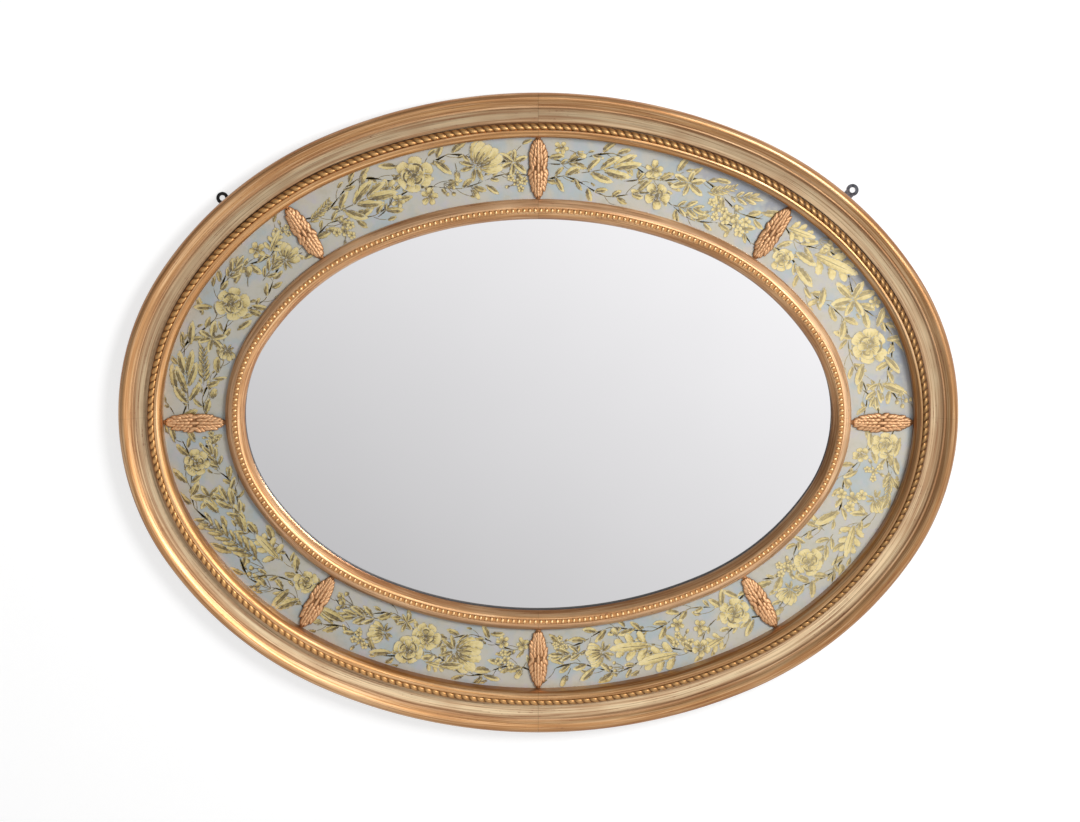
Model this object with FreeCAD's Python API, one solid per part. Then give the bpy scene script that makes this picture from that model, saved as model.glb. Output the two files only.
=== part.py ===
import FreeCAD, Part
import math
import os

# An oval giltwood wall mirror. A wide moulded frame and a narrow beaded slip hold a border of
# eight gilt and painted glass panels round a plain oval mirror plate, and eight carved leaf
# clasps cover the joints between the panels. The frame is built up the way curved frames are:
# a back ring of eight short segments, and a moulded front ring of four, glued and screwed with
# their joints staggered.
#
# The mirror is drawn lying on its back and stood upright at the end. While it lies there,
# x runs to the right, y towards its top and z towards its front, with z = 0 on the wall.
# A place on it is given by its turn, the direction in degrees that the oval's edge faces there
# (0 right, 90 top), and its inset, the distance inwards from the outermost edge.

vector = FreeCAD.Vector

# Driving dimensions, in millimetres and degrees
half_width = 590.0
half_height = 458.0
frame_width = 62.0
border_width = 87.5
slip_width = 28.0

# The oval is drawn with three tangent arcs in each quarter. These are the turns where they meet.
end_arc_turn = 33.5
shoulder_arc_turn = 66.5

# Layers, from the wall towards the front
backboard_thickness = 7.0
bed_thickness = 10.0
border_glass_thickness = 3.0
mirror_thickness = 5.0
frame_depth = 45.0
torus_depth = 42.0
fit_clearance = 0.5
overrun = 1.0
least_turn = 1e-6

# Back ring
moulding_overhang = 22.0
side_taper = 4.0

# Front moulding, from the outer edge inwards
torus_radius = 9.0
torus_end_angle = 25.0
small_bead_radius = 2.2
small_bead_drop = 1.2
hollow_step = 1.0
hollow_sag = 3.2
hollow_fall = 4.5
quirk_width = 1.4
quirk_depth = 2.4
rope_seat_width = 8.5
rope_seat_rise = 8.5
rope_radius = 5.2
crown_step = 2.2
crown_width = 1.5
sight_round_radius = 11.0
glass_lip_width = 7.0

# Slip
slip_depth = 36.5
slip_foot_step = 3.0
slip_mirror_lip = 8.0
slip_side_height = 4.0
slip_edge_height = 6.5
slip_flank_width = 9.8
slip_flank_bulge = 2.6
slip_bead_fillet = 0.9
pearl_seat_sink = 0.8
pearl_radius = 3.6

# Clasps, with the turns where those on the right stand. The side ones lie level all the same.
clasp_upper_turn = 55.9
clasp_side_turn = -1.8
clasp_lower_turn = -57.7
clasp_width = 27.0
clasp_tip_width = 9.0
clasp_height = 9.0
clasp_arch = 5.0
clasp_gap = 0.3
panel_gap = 2.4

# Clasp pins
pin_radius = 0.8
pin_length = 14.0
pin_in_clasp = 4.0
pin_inset_share = 0.2

# Screws: head radius, head depth, shank radius
screw_head_radius = 3.6
screw_head_depth = 2.4
screw_shank_radius = 1.7
screw_tip_length = 3.0
screw_slot_width = 0.9
screw_slot_depth = 0.9
ring_screw_length = 28.0
bed_screw_length = 20.0
slip_screw_length = 22.0
backboard_screw_length = 14.0
plate_screw_length = 13.0
backboard_screw_margin = 20.5
backboard_screw_levels = (0.15, 0.5, 0.8, 0.98)
ring_screw_inset_share = 0.55
ring_screw_spread_share = 0.28
screws_round_oval = 16
slot_turn_step = 67.0

# Glazing blocks behind the mirror plate
block_length = 32.0
block_width = 15.0
block_count = 12

# Backboard
board_names = ("lower", "middle", "upper")
board_chamfer = 1.0

# Hanging plates
plate_thickness = 2.0
eye_radius = 4.0
eye_wall = 4.5
plate_neck_width = 13.0
plate_neck_share = 0.5
plate_base_width = 32.0
plate_end_margin = 3.5
plate_screw_spread = 19.0
plate_clearance = 0.4
left_plate_turn = 131.7
left_plate_reach = 1.5
right_plate_turn = 49.3
right_plate_reach = 8.3

# Sizes that follow
back_ring_width = frame_width - moulding_overhang
back_ring_thickness = backboard_thickness + bed_thickness
glass_front = back_ring_thickness + border_glass_thickness
slip_outer = frame_width + border_width
slip_inner = slip_outer + slip_width
glass_rebate_inset = frame_width - glass_lip_width
slip_foot_inset = slip_outer + slip_foot_step
mirror_rebate_inset = slip_inner - slip_mirror_lip
bed_inset = back_ring_width + fit_clearance
plate_length = back_ring_width - plate_end_margin + left_plate_reach
plate_neck_length = plate_length * plate_neck_share
plate_base_length = plate_length - plate_neck_length
clasp_turns = {
    "top": 90.0,
    "upper_right": clasp_upper_turn,
    "right": clasp_side_turn,
    "lower_right": clasp_lower_turn,
    "bottom": -90.0,
    "lower_left": -180.0 - clasp_lower_turn,
    "left": -180.0 - clasp_side_turn,
    "upper_left": -180.0 - clasp_upper_turn,
}
clasp_facings = dict(clasp_turns, right=0.0, left=-180.0)
panel_names = (
    "panel_top_right",
    "panel_right_upper",
    "panel_right_lower",
    "panel_bottom_right",
    "panel_bottom_left",
    "panel_left_lower",
    "panel_left_upper",
    "panel_top_left",
)
quarters = {"upper_right": 0.0, "upper_left": 90.0, "lower_left": 180.0, "lower_right": 270.0}
back_segments = (
    "right",
    "upper_right",
    "top",
    "upper_left",
    "left",
    "lower_left",
    "bottom",
    "lower_right",
)
segment_turn = 360.0 / len(back_segments)


def direction(turn):
    return vector(math.cos(math.radians(turn)), math.sin(math.radians(turn)), 0)


def oval_arcs():
    """The eight arcs of the outermost edge, each as centre, radius, first turn and last turn."""
    shoulder_radius = (half_width + half_height) / 2
    first, second = direction(end_arc_turn), direction(shoulder_arc_turn)
    # The end and top arcs' radii make the arcs close on the half width and the half height.
    a, b = first.x - 1, -second.x
    c, d = first.y, 1 - second.y
    p = shoulder_radius * (first.x - second.x) - half_width
    q = shoulder_radius * (first.y - second.y) + half_height
    end_radius = (p * d - b * q) / (a * d - b * c)
    top_radius = (a * q - c * p) / (a * d - b * c)
    end = vector(half_width - end_radius, 0, 0)
    shoulder = end + first * (end_radius - shoulder_radius)
    top = vector(0, half_height - top_radius, 0)
    arcs = []
    for turned in (0.0, 180.0):
        flip = 1.0 if turned == 0.0 else -1.0
        mirrored = vector(-shoulder.x, shoulder.y, 0)
        arcs += [
            (end * flip, end_radius, turned - end_arc_turn, turned + end_arc_turn),
            (shoulder * flip, shoulder_radius, turned + end_arc_turn, turned + shoulder_arc_turn),
            (top * flip, top_radius, turned + shoulder_arc_turn, turned + 180.0 - shoulder_arc_turn),
            (mirrored * flip, shoulder_radius, turned + 180.0 - shoulder_arc_turn,
             turned + 180.0 - end_arc_turn),
        ]
    return arcs


def arcs_between(first_turn, last_turn):
    """The stretches of the oval's arcs from one turn to another, going anticlockwise."""
    found = []
    for lap in (-360.0, 0.0, 360.0):
        for centre, radius, begin, end in oval_arcs():
            low, high = max(begin + lap, first_turn), min(end + lap, last_turn)
            if high - low > least_turn:
                found.append((centre, radius, low, high))
    return sorted(found, key=lambda arc: arc[2])


def arc_at(turn):
    """The centre and radius of the outermost edge's arc at a turn."""
    centre, radius, begin, end = arcs_between(turn, turn + 2 * least_turn)[0]
    return centre, radius


def spot(turn, inset):
    """The point at a turn and an inset."""
    centre, radius = arc_at(turn)
    return centre + direction(turn) * (radius - inset)


def turn_over(turn, inset, length):
    """How much turn a length along the oval takes up at a place."""
    centre, radius = arc_at(turn)
    return math.degrees(length / (radius - inset))


def stand_at(turn, inset, facing):
    """The placement at a place whose x points along facing, and z to the front."""
    foot, out, along = spot(turn, inset), direction(facing), direction(facing + 90.0)
    matrix = FreeCAD.Matrix(
        out.x, along.x, 0, foot.x,
        out.y, along.y, 0, foot.y,
        0, 0, 1, foot.z,
        0, 0, 0, 1,
    )
    return FreeCAD.Placement(matrix)


def fused(shapes):
    whole = shapes[0]
    if len(shapes) > 1:
        whole = whole.fuse(shapes[1:])
    return whole.removeSplitter()


def round_stretch(centre_inset, centre_height, radius, begin, end):
    """A section's arc, as its middle and end points. Angle 0 points inwards and 90 to the front."""
    points = []
    for angle in ((begin + end) / 2, end):
        points.append((
            centre_inset + radius * math.cos(math.radians(angle)),
            centre_height + radius * math.sin(math.radians(angle)),
        ))
    return tuple(points)


def bulged_stretch(start, end, bulge):
    """A section's arc between two points, standing out by bulge to the left of its way."""
    across, up = end[0] - start[0], end[1] - start[1]
    length = math.hypot(across, up)
    middle = (
        (start[0] + end[0]) / 2 - up / length * bulge,
        (start[1] + end[1]) / 2 + across / length * bulge,
    )
    return (middle, end)


def section_face(section, centre, radius, turn):
    """A section's face, standing across the oval at a turn. An entry is a point (inset, height)
    reached by a line, or a pair of such points, the middle and the end of an arc."""

    def place(point):
        return centre + direction(turn) * (radius - point[0]) + vector(0, 0, point[1])

    edges = []
    at = section[0]
    for entry in list(section[1:]) + [section[0]]:
        if isinstance(entry[0], tuple):
            middle, end = entry
            edges.append(Part.Arc(place(at), place(middle), place(end)).toShape())
            at = end
        else:
            edges.append(Part.LineSegment(place(at), place(entry)).toShape())
            at = entry
    return Part.Face(Part.Wire(edges))


def moulding(section, first_turn, last_turn):
    """A section run along the oval from one turn to another."""
    stretches = []
    for centre, radius, begin, end in arcs_between(first_turn, last_turn):
        face = section_face(section, centre, radius, begin)
        stretches.append(face.revolve(centre, vector(0, 0, 1), end - begin))
    return fused(stretches)


def band(outer, inner, back, front):
    """The section of a plain flat band."""
    return ((outer, back), (outer, front), (inner, front), (inner, back))


def oval_plate(inset, back, front):
    edges = []
    for centre, radius, begin, end in oval_arcs():
        points = [
            centre + direction(turn) * (radius - inset) + vector(0, 0, back)
            for turn in (begin, (begin + end) / 2, end)
        ]
        edges.append(Part.Arc(*points).toShape())
    face = Part.Face(Part.Wire(edges))
    return face.extrude(vector(0, 0, front - back))


def peg(place, radius, back, front):
    foot = vector(place.x, place.y, back)
    return Part.makeCylinder(radius, front - back, foot, vector(0, 0, 1))


def screw_body(place, back, length):
    """A countersunk wood screw without its slot, driven from the back. Its hole is the same shape."""
    foot = vector(place.x, place.y, back)
    head = Part.makeCone(screw_head_radius, screw_shank_radius, screw_head_depth, foot)
    shank_end = back + length - screw_tip_length
    shank = peg(place, screw_shank_radius, back + screw_head_depth, shank_end)
    tip_foot = vector(place.x, place.y, shank_end)
    tip = Part.makeCone(screw_shank_radius, 0, screw_tip_length, tip_foot)
    return fused([head, shank, tip])


def screw(place, back, length, slot_turn):
    """The screw itself, with its slot."""
    slot_length = 2 * (screw_head_radius + overrun)
    slot = Part.makeBox(
        slot_length,
        screw_slot_width,
        screw_slot_depth + overrun,
        vector(-slot_length / 2, -screw_slot_width / 2, -overrun),
    )
    slot.rotate(vector(0, 0, 0), vector(0, 0, 1), slot_turn)
    slot.translate(vector(place.x, place.y, back))
    return screw_body(place, back, length).cut(slot)


def turns_round(count, first):
    return [first + 360.0 * step / count for step in range(count)]


def turn_at_level(inset, level):
    """The turn on the right where the oval reaches a share of its height above its middle."""
    low, high = -90.0, 90.0
    height = level * (half_height - inset)
    while high - low > least_turn:
        middle = (low + high) / 2
        if spot(middle, inset).y < height:
            low = middle
        else:
            high = middle
    return low


def mirrored_spots(inset, levels):
    """At each level one place in each quarter."""
    places = []
    for level in levels:
        place = spot(turn_at_level(inset, level), inset)
        places += [vector(place.x * across, place.y * up, 0) for across in (-1, 1) for up in (-1, 1)]
    return places


# Where the fasteners go
half_step = 180.0 / screws_round_oval
even_turns = turns_round(screws_round_oval, half_step)
bed_screw_inset = (bed_inset + glass_rebate_inset) / 2
bed_screw_places = [spot(turn, bed_screw_inset) for turn in even_turns]
slip_screw_inset = (slip_foot_inset + mirror_rebate_inset) / 2
slip_screw_places = [spot(turn, slip_screw_inset) for turn in even_turns]
backboard_screw_inset = bed_inset + backboard_screw_margin
backboard_screw_places = mirrored_spots(backboard_screw_inset, backboard_screw_levels)
ring_screw_inset = back_ring_width * ring_screw_inset_share
ring_screw_places = [
    spot(segment_turn * (number + side * ring_screw_spread_share), ring_screw_inset)
    for number in range(len(back_segments))
    for side in (-1, 1)
]
clasp_length = border_width - 2 * clasp_gap
clasp_middle = frame_width + border_width / 2
pin_offset = clasp_length * (0.5 - pin_inset_share)
pin_places = [
    spot(turn, clasp_middle) + direction(clasp_facings[name]) * (side * pin_offset)
    for name, turn in clasp_turns.items()
    for side in (-1, 1)
]


def side_inset(height):
    """The inset of the frame's sloping outer side at a height above the wall."""
    return side_taper * (1 - height / (torus_depth - torus_radius))


def front_moulding_section():
    """Torus, small bead, hollow, quirk, rope seat, crown and rounded sight edge, then the rebates."""
    torus_axis = torus_depth - torus_radius
    torus = round_stretch(torus_radius, torus_axis, torus_radius, 180.0, torus_end_angle)
    bead_start = torus[1][0]
    bead_axis = torus[1][1] - small_bead_drop
    bead_centre = bead_start + small_bead_radius
    bead = round_stretch(bead_centre, bead_axis, small_bead_radius, 180.0, 0.0)
    hollow_start = (bead_start + 2 * small_bead_radius, bead_axis - hollow_step)
    crown_end = frame_width - sight_round_radius
    crown_start = crown_end - crown_width
    seat_top = (crown_start, frame_depth - crown_step)
    seat_foot = (crown_start - rope_seat_width, seat_top[1] - rope_seat_rise)
    hollow_end = (seat_foot[0] - quirk_width, hollow_start[1] - hollow_fall)
    quirk_floor = hollow_end[1] - quirk_depth
    return (
        (side_inset(back_ring_thickness), back_ring_thickness),
        (0.0, torus_axis),
        torus,
        (bead_start, bead_axis),
        bead,
        hollow_start,
        bulged_stretch(hollow_start, hollow_end, -hollow_sag),
        (hollow_end[0], quirk_floor),
        (seat_foot[0], quirk_floor),
        seat_foot,
        seat_top,
        (crown_start, frame_depth),
        (crown_end, frame_depth),
        round_stretch(crown_end, frame_depth - sight_round_radius, sight_round_radius, 90.0, 0.0),
        (frame_width, glass_front),
        (glass_rebate_inset, glass_front),
        (glass_rebate_inset, back_ring_thickness),
    )


def rope_section():
    """A half round on the rope seat. Its twist is carved later."""
    seat_top = (frame_width - sight_round_radius - crown_width, frame_depth - crown_step)
    seat_foot = (seat_top[0] - rope_seat_width, seat_top[1] - rope_seat_rise)
    seat_length = math.dist(seat_top, seat_foot)
    rope_chord = min(2 * rope_radius, seat_length)
    share = (1 - rope_chord / seat_length) / 2

    def on_seat(part):
        return (
            seat_foot[0] + (seat_top[0] - seat_foot[0]) * part,
            seat_foot[1] + (seat_top[1] - seat_foot[1]) * part,
        )

    first, last = on_seat(share), on_seat(1 - share)
    return (first, bulged_stretch(first, last, rope_chord / 2))


def slip_section():
    """Outer flank, pearl seat between two fillets, inner flank, then the foot and the two lips."""
    outer_foot = (slip_outer, glass_front + slip_side_height)
    outer_top = (slip_outer + slip_flank_width, slip_depth)
    inner_top = (slip_inner - slip_flank_width, slip_depth)
    inner_foot = (slip_inner, back_ring_thickness + slip_edge_height)
    seat = slip_depth - pearl_seat_sink
    return (
        (slip_outer, glass_front),
        outer_foot,
        bulged_stretch(outer_foot, outer_top, slip_flank_bulge),
        (outer_top[0] + slip_bead_fillet, slip_depth),
        (outer_top[0] + slip_bead_fillet, seat),
        (inner_top[0] - slip_bead_fillet, seat),
        (inner_top[0] - slip_bead_fillet, slip_depth),
        inner_top,
        bulged_stretch(inner_top, inner_foot, slip_flank_bulge),
        (slip_inner, back_ring_thickness),
        (slip_foot_inset, back_ring_thickness),
        (slip_foot_inset, glass_front),
    )


def pearl_strip_section():
    """A half round on the pearl seat. The pearls are cut into it later."""
    middle = (slip_outer + slip_inner) / 2
    seat = slip_depth - pearl_seat_sink
    seat_half = slip_width / 2 - slip_flank_width - slip_bead_fillet
    reach = min(pearl_radius, seat_half)
    return ((middle - reach, seat), round_stretch(middle, seat, reach, 180.0, 0.0))


def plate_outline(grow):
    """A hanging plate, or with grow its pocket: eye, neck and base, with the eye at the origin."""
    neck = plate_neck_width / 2 + grow
    base = plate_base_width / 2 + grow
    base_near = -plate_neck_length + grow
    base_far = -plate_neck_length - plate_base_length - grow
    corners = [
        (0, neck),
        (base_near, neck),
        (base_near, base),
        (base_far, base),
        (base_far, -base),
        (base_near, -base),
        (base_near, -neck),
        (0, -neck),
        (0, neck),
    ]
    body = Part.Face(Part.makePolygon([vector(x, y, 0) for x, y in corners]))
    eye = Part.makeCylinder(eye_radius + eye_wall + grow, plate_thickness)
    return fused([body.extrude(vector(0, 0, plate_thickness)), eye])


def plate_parts(turn, reach):
    """A hanging plate, its pocket, and its screws with their holes. The eye stands out of the
    frame by reach."""
    placement = stand_at(turn, -reach, turn)
    plate = plate_outline(0.0)
    pocket = plate_outline(plate_clearance)
    eye_hole = Part.makeCylinder(eye_radius, plate_thickness + 2 * overrun, vector(0, 0, -overrun))
    plate = plate.cut(eye_hole)
    screws, holes = [], []
    for side in (-1, 1):
        place = vector(-plate_neck_length - plate_base_length / 2, side * plate_screw_spread / 2, 0)
        hole = screw_body(place, 0.0, plate_screw_length)
        holes.append(hole)
        screws.append(screw(place, 0.0, plate_screw_length, slot_turn_step * side))
    plate = plate.cut(holes)
    for shape in [plate, pocket] + screws + holes:
        shape.Placement = placement
    return plate, pocket, screws, holes


hanging = {
    "hanging_plate_left": plate_parts(left_plate_turn, left_plate_reach),
    "hanging_plate_right": plate_parts(right_plate_turn, right_plate_reach),
}


def screw_holes(places, back, length):
    return [screw_body(place, back, length) for place in places]


def back_ring():
    """Eight short segments, butted, with the pockets for the hanging plates let into them."""
    inner = back_ring_width
    section = (
        (side_inset(0.0), 0.0),
        (side_inset(back_ring_thickness), back_ring_thickness),
        (inner, back_ring_thickness),
        (inner, 0.0),
    )
    tools = screw_holes(ring_screw_places, 0.0, ring_screw_length)
    for plate, pocket, screws, holes in hanging.values():
        tools += [pocket] + holes
    parts = {}
    for number, name in enumerate(back_segments):
        first = segment_turn * (number - 0.5)
        parts["back_ring_" + name] = moulding(section, first, first + segment_turn).cut(tools)
    return parts


def front_mouldings():
    tools = screw_holes(ring_screw_places, 0.0, ring_screw_length)
    tools += screw_holes(bed_screw_places, backboard_thickness, bed_screw_length)
    parts = {}
    for name, first in quarters.items():
        parts["moulding_" + name] = moulding(front_moulding_section(), first, first + 90.0).cut(tools)
    return parts


def rope_strips():
    return {
        "rope_strip_" + name: moulding(rope_section(), first, first + 90.0)
        for name, first in quarters.items()
    }


def slips():
    tools = screw_holes(slip_screw_places, backboard_thickness, slip_screw_length)
    return {
        "slip_" + name: moulding(slip_section(), first, first + 90.0).cut(tools)
        for name, first in quarters.items()
    }


def pearl_strips():
    return {
        "pearl_strip_" + name: moulding(pearl_strip_section(), first, first + 90.0)
        for name, first in quarters.items()
    }


def clasp_placement(name, height):
    placement = stand_at(clasp_turns[name], clasp_middle, clasp_facings[name])
    placement.Base.z = height
    return placement


def past_joint(name, side):
    """The space past the joint under a clasp, with the gap there: side 1 anticlockwise, -1 clockwise."""
    depth = border_width + glass_lip_width + slip_foot_step + 2 * overrun
    width = clasp_width + panel_gap / 2
    height = border_glass_thickness + 2 * overrun
    near = -panel_gap / 2 if side > 0 else panel_gap / 2 - width
    space = Part.makeBox(depth, width, height, vector(-depth / 2, near, -overrun))
    space.Placement = clasp_placement(name, back_ring_thickness)
    return space


def border_panels():
    """The eight panels of the border, each between two clasps, going clockwise from the top."""
    outer = glass_rebate_inset + fit_clearance
    inner = slip_foot_inset - fit_clearance
    section = band(outer, inner, back_ring_thickness, glass_front)
    clasp_names = list(clasp_turns)
    parts = {}
    for number, name in enumerate(panel_names):
        before, after = clasp_names[number], clasp_names[(number + 1) % len(clasp_names)]
        last, first = clasp_turns[before], clasp_turns[after]
        if first > last:
            first -= 360.0
        first -= turn_over(first, outer, clasp_width / 2)
        last += turn_over(last, outer, clasp_width / 2)
        sheet = moulding(section, first, last)
        parts[name] = sheet.cut([past_joint(before, 1), past_joint(after, -1)])
    return parts


def clasp_shape():
    """A pointed oval, domed across and arched along its length, with its foot at the origin."""
    half_length, half_across, half_tip = clasp_length / 2, clasp_width / 2, clasp_tip_width / 2
    tips = [vector(-half_length, half_tip, 0), vector(half_length, half_tip, 0)]
    far_tips = [vector(half_length, -half_tip, 0), vector(-half_length, -half_tip, 0)]
    outline = Part.Wire([
        Part.Arc(tips[0], vector(0, half_across, 0), tips[1]).toShape(),
        Part.LineSegment(tips[1], far_tips[0]).toShape(),
        Part.Arc(far_tips[0], vector(0, -half_across, 0), far_tips[1]).toShape(),
        Part.LineSegment(far_tips[1], tips[0]).toShape(),
    ])
    block = Part.Face(outline).extrude(vector(0, 0, clasp_height))
    rim = clasp_height - clasp_arch
    dome_radius = (half_across ** 2 + clasp_arch ** 2) / (2 * clasp_arch)
    arch_radius = (half_length ** 2 + clasp_arch ** 2) / (2 * clasp_arch)
    dome = Part.makeCylinder(
        dome_radius, clasp_length, vector(-half_length, 0, clasp_height - dome_radius), vector(1, 0, 0)
    )
    arch = Part.makeCylinder(
        arch_radius, clasp_width, vector(0, -half_across, clasp_height - arch_radius), vector(0, 1, 0)
    )
    foot = Part.makeBox(clasp_length, clasp_width, rim, vector(-half_length, -half_across, 0))
    return block.common(fused([dome, foot])).common(arch)


def clasps():
    pins = [
        peg(place, pin_radius, glass_front, glass_front + pin_in_clasp) for place in pin_places
    ]
    parts = {}
    for name in clasp_turns:
        shape = clasp_shape()
        shape.Placement = clasp_placement(name, glass_front)
        parts["clasp_" + name] = shape.cut(pins)
    return parts


def beds():
    """The board behind the border, in two halves, which carries the slip."""
    section = band(bed_inset, mirror_rebate_inset, backboard_thickness, back_ring_thickness)
    tools = screw_holes(bed_screw_places, backboard_thickness, bed_screw_length)
    tools += screw_holes(slip_screw_places, backboard_thickness, slip_screw_length)
    tools += screw_holes(backboard_screw_places, 0.0, backboard_screw_length)
    pin_foot = glass_front + pin_in_clasp - pin_length
    tools += [peg(place, pin_radius, pin_foot, back_ring_thickness) for place in pin_places]
    return {
        "border_bed_upper": moulding(section, 0.0, 180.0).cut(tools),
        "border_bed_lower": moulding(section, 180.0, 360.0).cut(tools),
    }


def mirror_plate():
    inset = mirror_rebate_inset + fit_clearance
    back = back_ring_thickness - mirror_thickness
    return oval_plate(inset, back, back_ring_thickness)


def glazing_blocks():
    """Small blocks between the mirror plate and the backboard, against the bed's inner edge."""
    outer, inner = mirror_rebate_inset, mirror_rebate_inset + block_width
    front = back_ring_thickness - mirror_thickness
    section = band(outer, inner, backboard_thickness, front)
    blocks = []
    for turn in turns_round(block_count, 180.0 / block_count):
        half_span = turn_over(turn, outer, block_length) / 2
        blocks.append(moulding(section, turn - half_span, turn + half_span))
    return Part.makeCompound(blocks)


def backboards():
    """Boards lying across the back, edge to edge, with their back edges eased."""
    board_height = 2 * (half_height - bed_inset) / len(board_names)
    feet = [bed_inset - half_height + number * board_height for number in range(len(board_names))]
    tools = screw_holes(backboard_screw_places, 0.0, backboard_screw_length)
    tools += [seam_groove(foot) for foot in feet[1:]]
    plate = oval_plate(bed_inset, 0.0, backboard_thickness).cut(tools)
    parts = {}
    for name, foot in zip(board_names, feet):
        corner = vector(-half_width, foot, 0)
        slab = Part.makeBox(2 * half_width, board_height, backboard_thickness, corner)
        parts["backboard_" + name] = plate.common(slab)
    return parts


def seam_groove(seam):
    """The V that the eased edges of two boards make at their joint."""
    corners = [
        vector(-half_width, seam - board_chamfer, 0),
        vector(-half_width, seam, board_chamfer),
        vector(-half_width, seam + board_chamfer, 0),
        vector(-half_width, seam - board_chamfer, 0),
    ]
    return Part.Face(Part.makePolygon(corners)).extrude(vector(2 * half_width, 0, 0))


def screw_group(places, back, length):
    """Screws whose slots stand at all angles, as hands leave them."""
    return Part.makeCompound([
        screw(place, back, length, slot_turn_step * number) for number, place in enumerate(places)
    ])


def fasteners():
    pin_foot = glass_front + pin_in_clasp - pin_length
    plate_screws = []
    for plate, pocket, screws, holes in hanging.values():
        plate_screws += screws
    return {
        "ring_screws": screw_group(ring_screw_places, 0.0, ring_screw_length),
        "bed_screws": screw_group(bed_screw_places, backboard_thickness, bed_screw_length),
        "slip_screws": screw_group(slip_screw_places, backboard_thickness, slip_screw_length),
        "backboard_screws": screw_group(backboard_screw_places, 0.0, backboard_screw_length),
        "hanging_plate_screws": Part.makeCompound(plate_screws),
        "clasp_pins": Part.makeCompound([
            peg(place, pin_radius, pin_foot, pin_foot + pin_length) for place in pin_places
        ]),
    }


def write(parts):
    """Stands each piece upright and writes it: the front then faces -Y and the top +Z."""
    os.makedirs("parts", exist_ok=True)
    for name, shape in parts.items():
        upright = shape.copy()
        upright.rotate(vector(0, 0, 0), vector(1, 0, 0), 90)
        upright.exportStep(os.path.join("parts", name + ".step"))


parts = {}
parts.update(back_ring())
parts.update(front_mouldings())
parts.update(rope_strips())
parts.update(slips())
parts.update(pearl_strips())
parts.update(border_panels())
parts.update(clasps())
parts.update(beds())
parts["mirror_plate"] = mirror_plate()
parts["glazing_blocks"] = glazing_blocks()
parts.update(backboards())
parts["hanging_plate_left"] = hanging["hanging_plate_left"][0]
parts["hanging_plate_right"] = hanging["hanging_plate_right"][0]
parts.update(fasteners())
write(parts)
for name, shape in sorted(parts.items()):
    print(f"{name:26s} solids {len(shape.Solids):3d} volume {shape.Volume:12.1f} valid {shape.isValid()}")
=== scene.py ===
import random
from functools import partial
from math import asin, atan2, copysign, cos, degrees, hypot, pi, radians, sin

import bmesh
import bpy
from mathutils import Matrix, Vector


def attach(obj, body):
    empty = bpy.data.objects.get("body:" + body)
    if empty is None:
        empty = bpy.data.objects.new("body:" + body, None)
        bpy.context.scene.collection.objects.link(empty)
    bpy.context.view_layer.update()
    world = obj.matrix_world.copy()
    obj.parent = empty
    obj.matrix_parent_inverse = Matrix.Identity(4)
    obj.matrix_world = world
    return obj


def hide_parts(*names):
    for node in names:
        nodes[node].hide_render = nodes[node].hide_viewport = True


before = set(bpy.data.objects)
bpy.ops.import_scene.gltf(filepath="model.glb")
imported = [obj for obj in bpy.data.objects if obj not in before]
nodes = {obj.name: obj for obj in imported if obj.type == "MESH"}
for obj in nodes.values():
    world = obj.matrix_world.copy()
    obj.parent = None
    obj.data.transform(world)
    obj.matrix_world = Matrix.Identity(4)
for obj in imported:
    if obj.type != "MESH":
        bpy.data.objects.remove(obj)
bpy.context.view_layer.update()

print("frame loaded:", len(nodes), "nodes")

# Places are worked out in millimetres and degrees, as in the part: the turn that the oval's edge
# faces, the inset from its outermost edge, and the depth in front of the wall.
mm = 0.001
oval = {"halfWidth": 590.0, "halfHeight": 458.0, "endTurn": 33.5, "shoulderTurn": 66.5}
halfSizes = {"X": oval["halfWidth"] * mm, "Z": oval["halfHeight"] * mm}
quarters = {"upper_right": 0, "upper_left": 90, "lower_left": 180, "lower_right": 270}


# The arcs of the outermost edge, three times round, as centre x, centre z, radius, first and last turn
def ovalArcs():
    first, second = radians(oval["endTurn"]), radians(oval["shoulderTurn"])
    shoulder = (oval["halfWidth"] + oval["halfHeight"]) / 2
    a, b, c, d = cos(first) - 1, -cos(second), sin(first), 1 - sin(second)
    p = shoulder * (cos(first) - cos(second)) - oval["halfWidth"]
    q = shoulder * (sin(first) - sin(second)) + oval["halfHeight"]
    end, top = (p * d - b * q) / (a * d - b * c), (a * q - c * p) / (a * d - b * c)
    endX, topZ = oval["halfWidth"] - end, oval["halfHeight"] - top
    x, z = endX + cos(first) * (end - shoulder), sin(first) * (end - shoulder)
    one, two = oval["endTurn"], oval["shoulderTurn"]
    arcs = []
    for half in range(-360, 720, 180):
        side = -1 if half % 360 else 1
        arcs += [
            (side * endX, 0, end, half - one, half + one),
            (side * x, side * z, shoulder, half + one, half + two),
            (0, side * topZ, top, half + two, half + 180 - two),
            (-side * x, side * z, shoulder, half + 180 - two, half + 180 - one),
        ]
    return arcs


arcs = ovalArcs()


def lengthTo(turn, inset):
    return sum((radius - inset) * radians(min(max(turn - begin, 0), end - begin))
               for x, z, radius, begin, end in arcs)


def turnAt(length, inset):
    for x, z, radius, begin, end in arcs:
        step = (radius - inset) * radians(end - begin)
        if length <= step:
            return begin + degrees(length / (radius - inset))
        length -= step


def spot(turn, inset, depth):
    x, z, radius = next((x, z, r) for x, z, r, begin, end in arcs if turn <= end)
    angle = radians(turn)
    return Vector((x + cos(angle) * (radius - inset), -depth,
                   z + sin(angle) * (radius - inset))) * mm


# The turn of a point, looked for among the arcs of one stretch
def turnOf(point, stretch):
    for x, z, radius, begin, end in stretch:
        angle = degrees(atan2(point.z / mm - z, point.x / mm - x))
        angle += 360 * round(((begin + end) / 2 - angle) / 360)
        if begin - 0.01 <= angle <= end + 0.01:
            return angle
    return stretch[-1][4]


def stretchOf(first, last):
    found = [(x, z, radius, max(begin, first), min(end, last)) for x, z, radius, begin, end in arcs]
    return [arc for arc in found if arc[4] - arc[3] > 0.001]


# Materials

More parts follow.
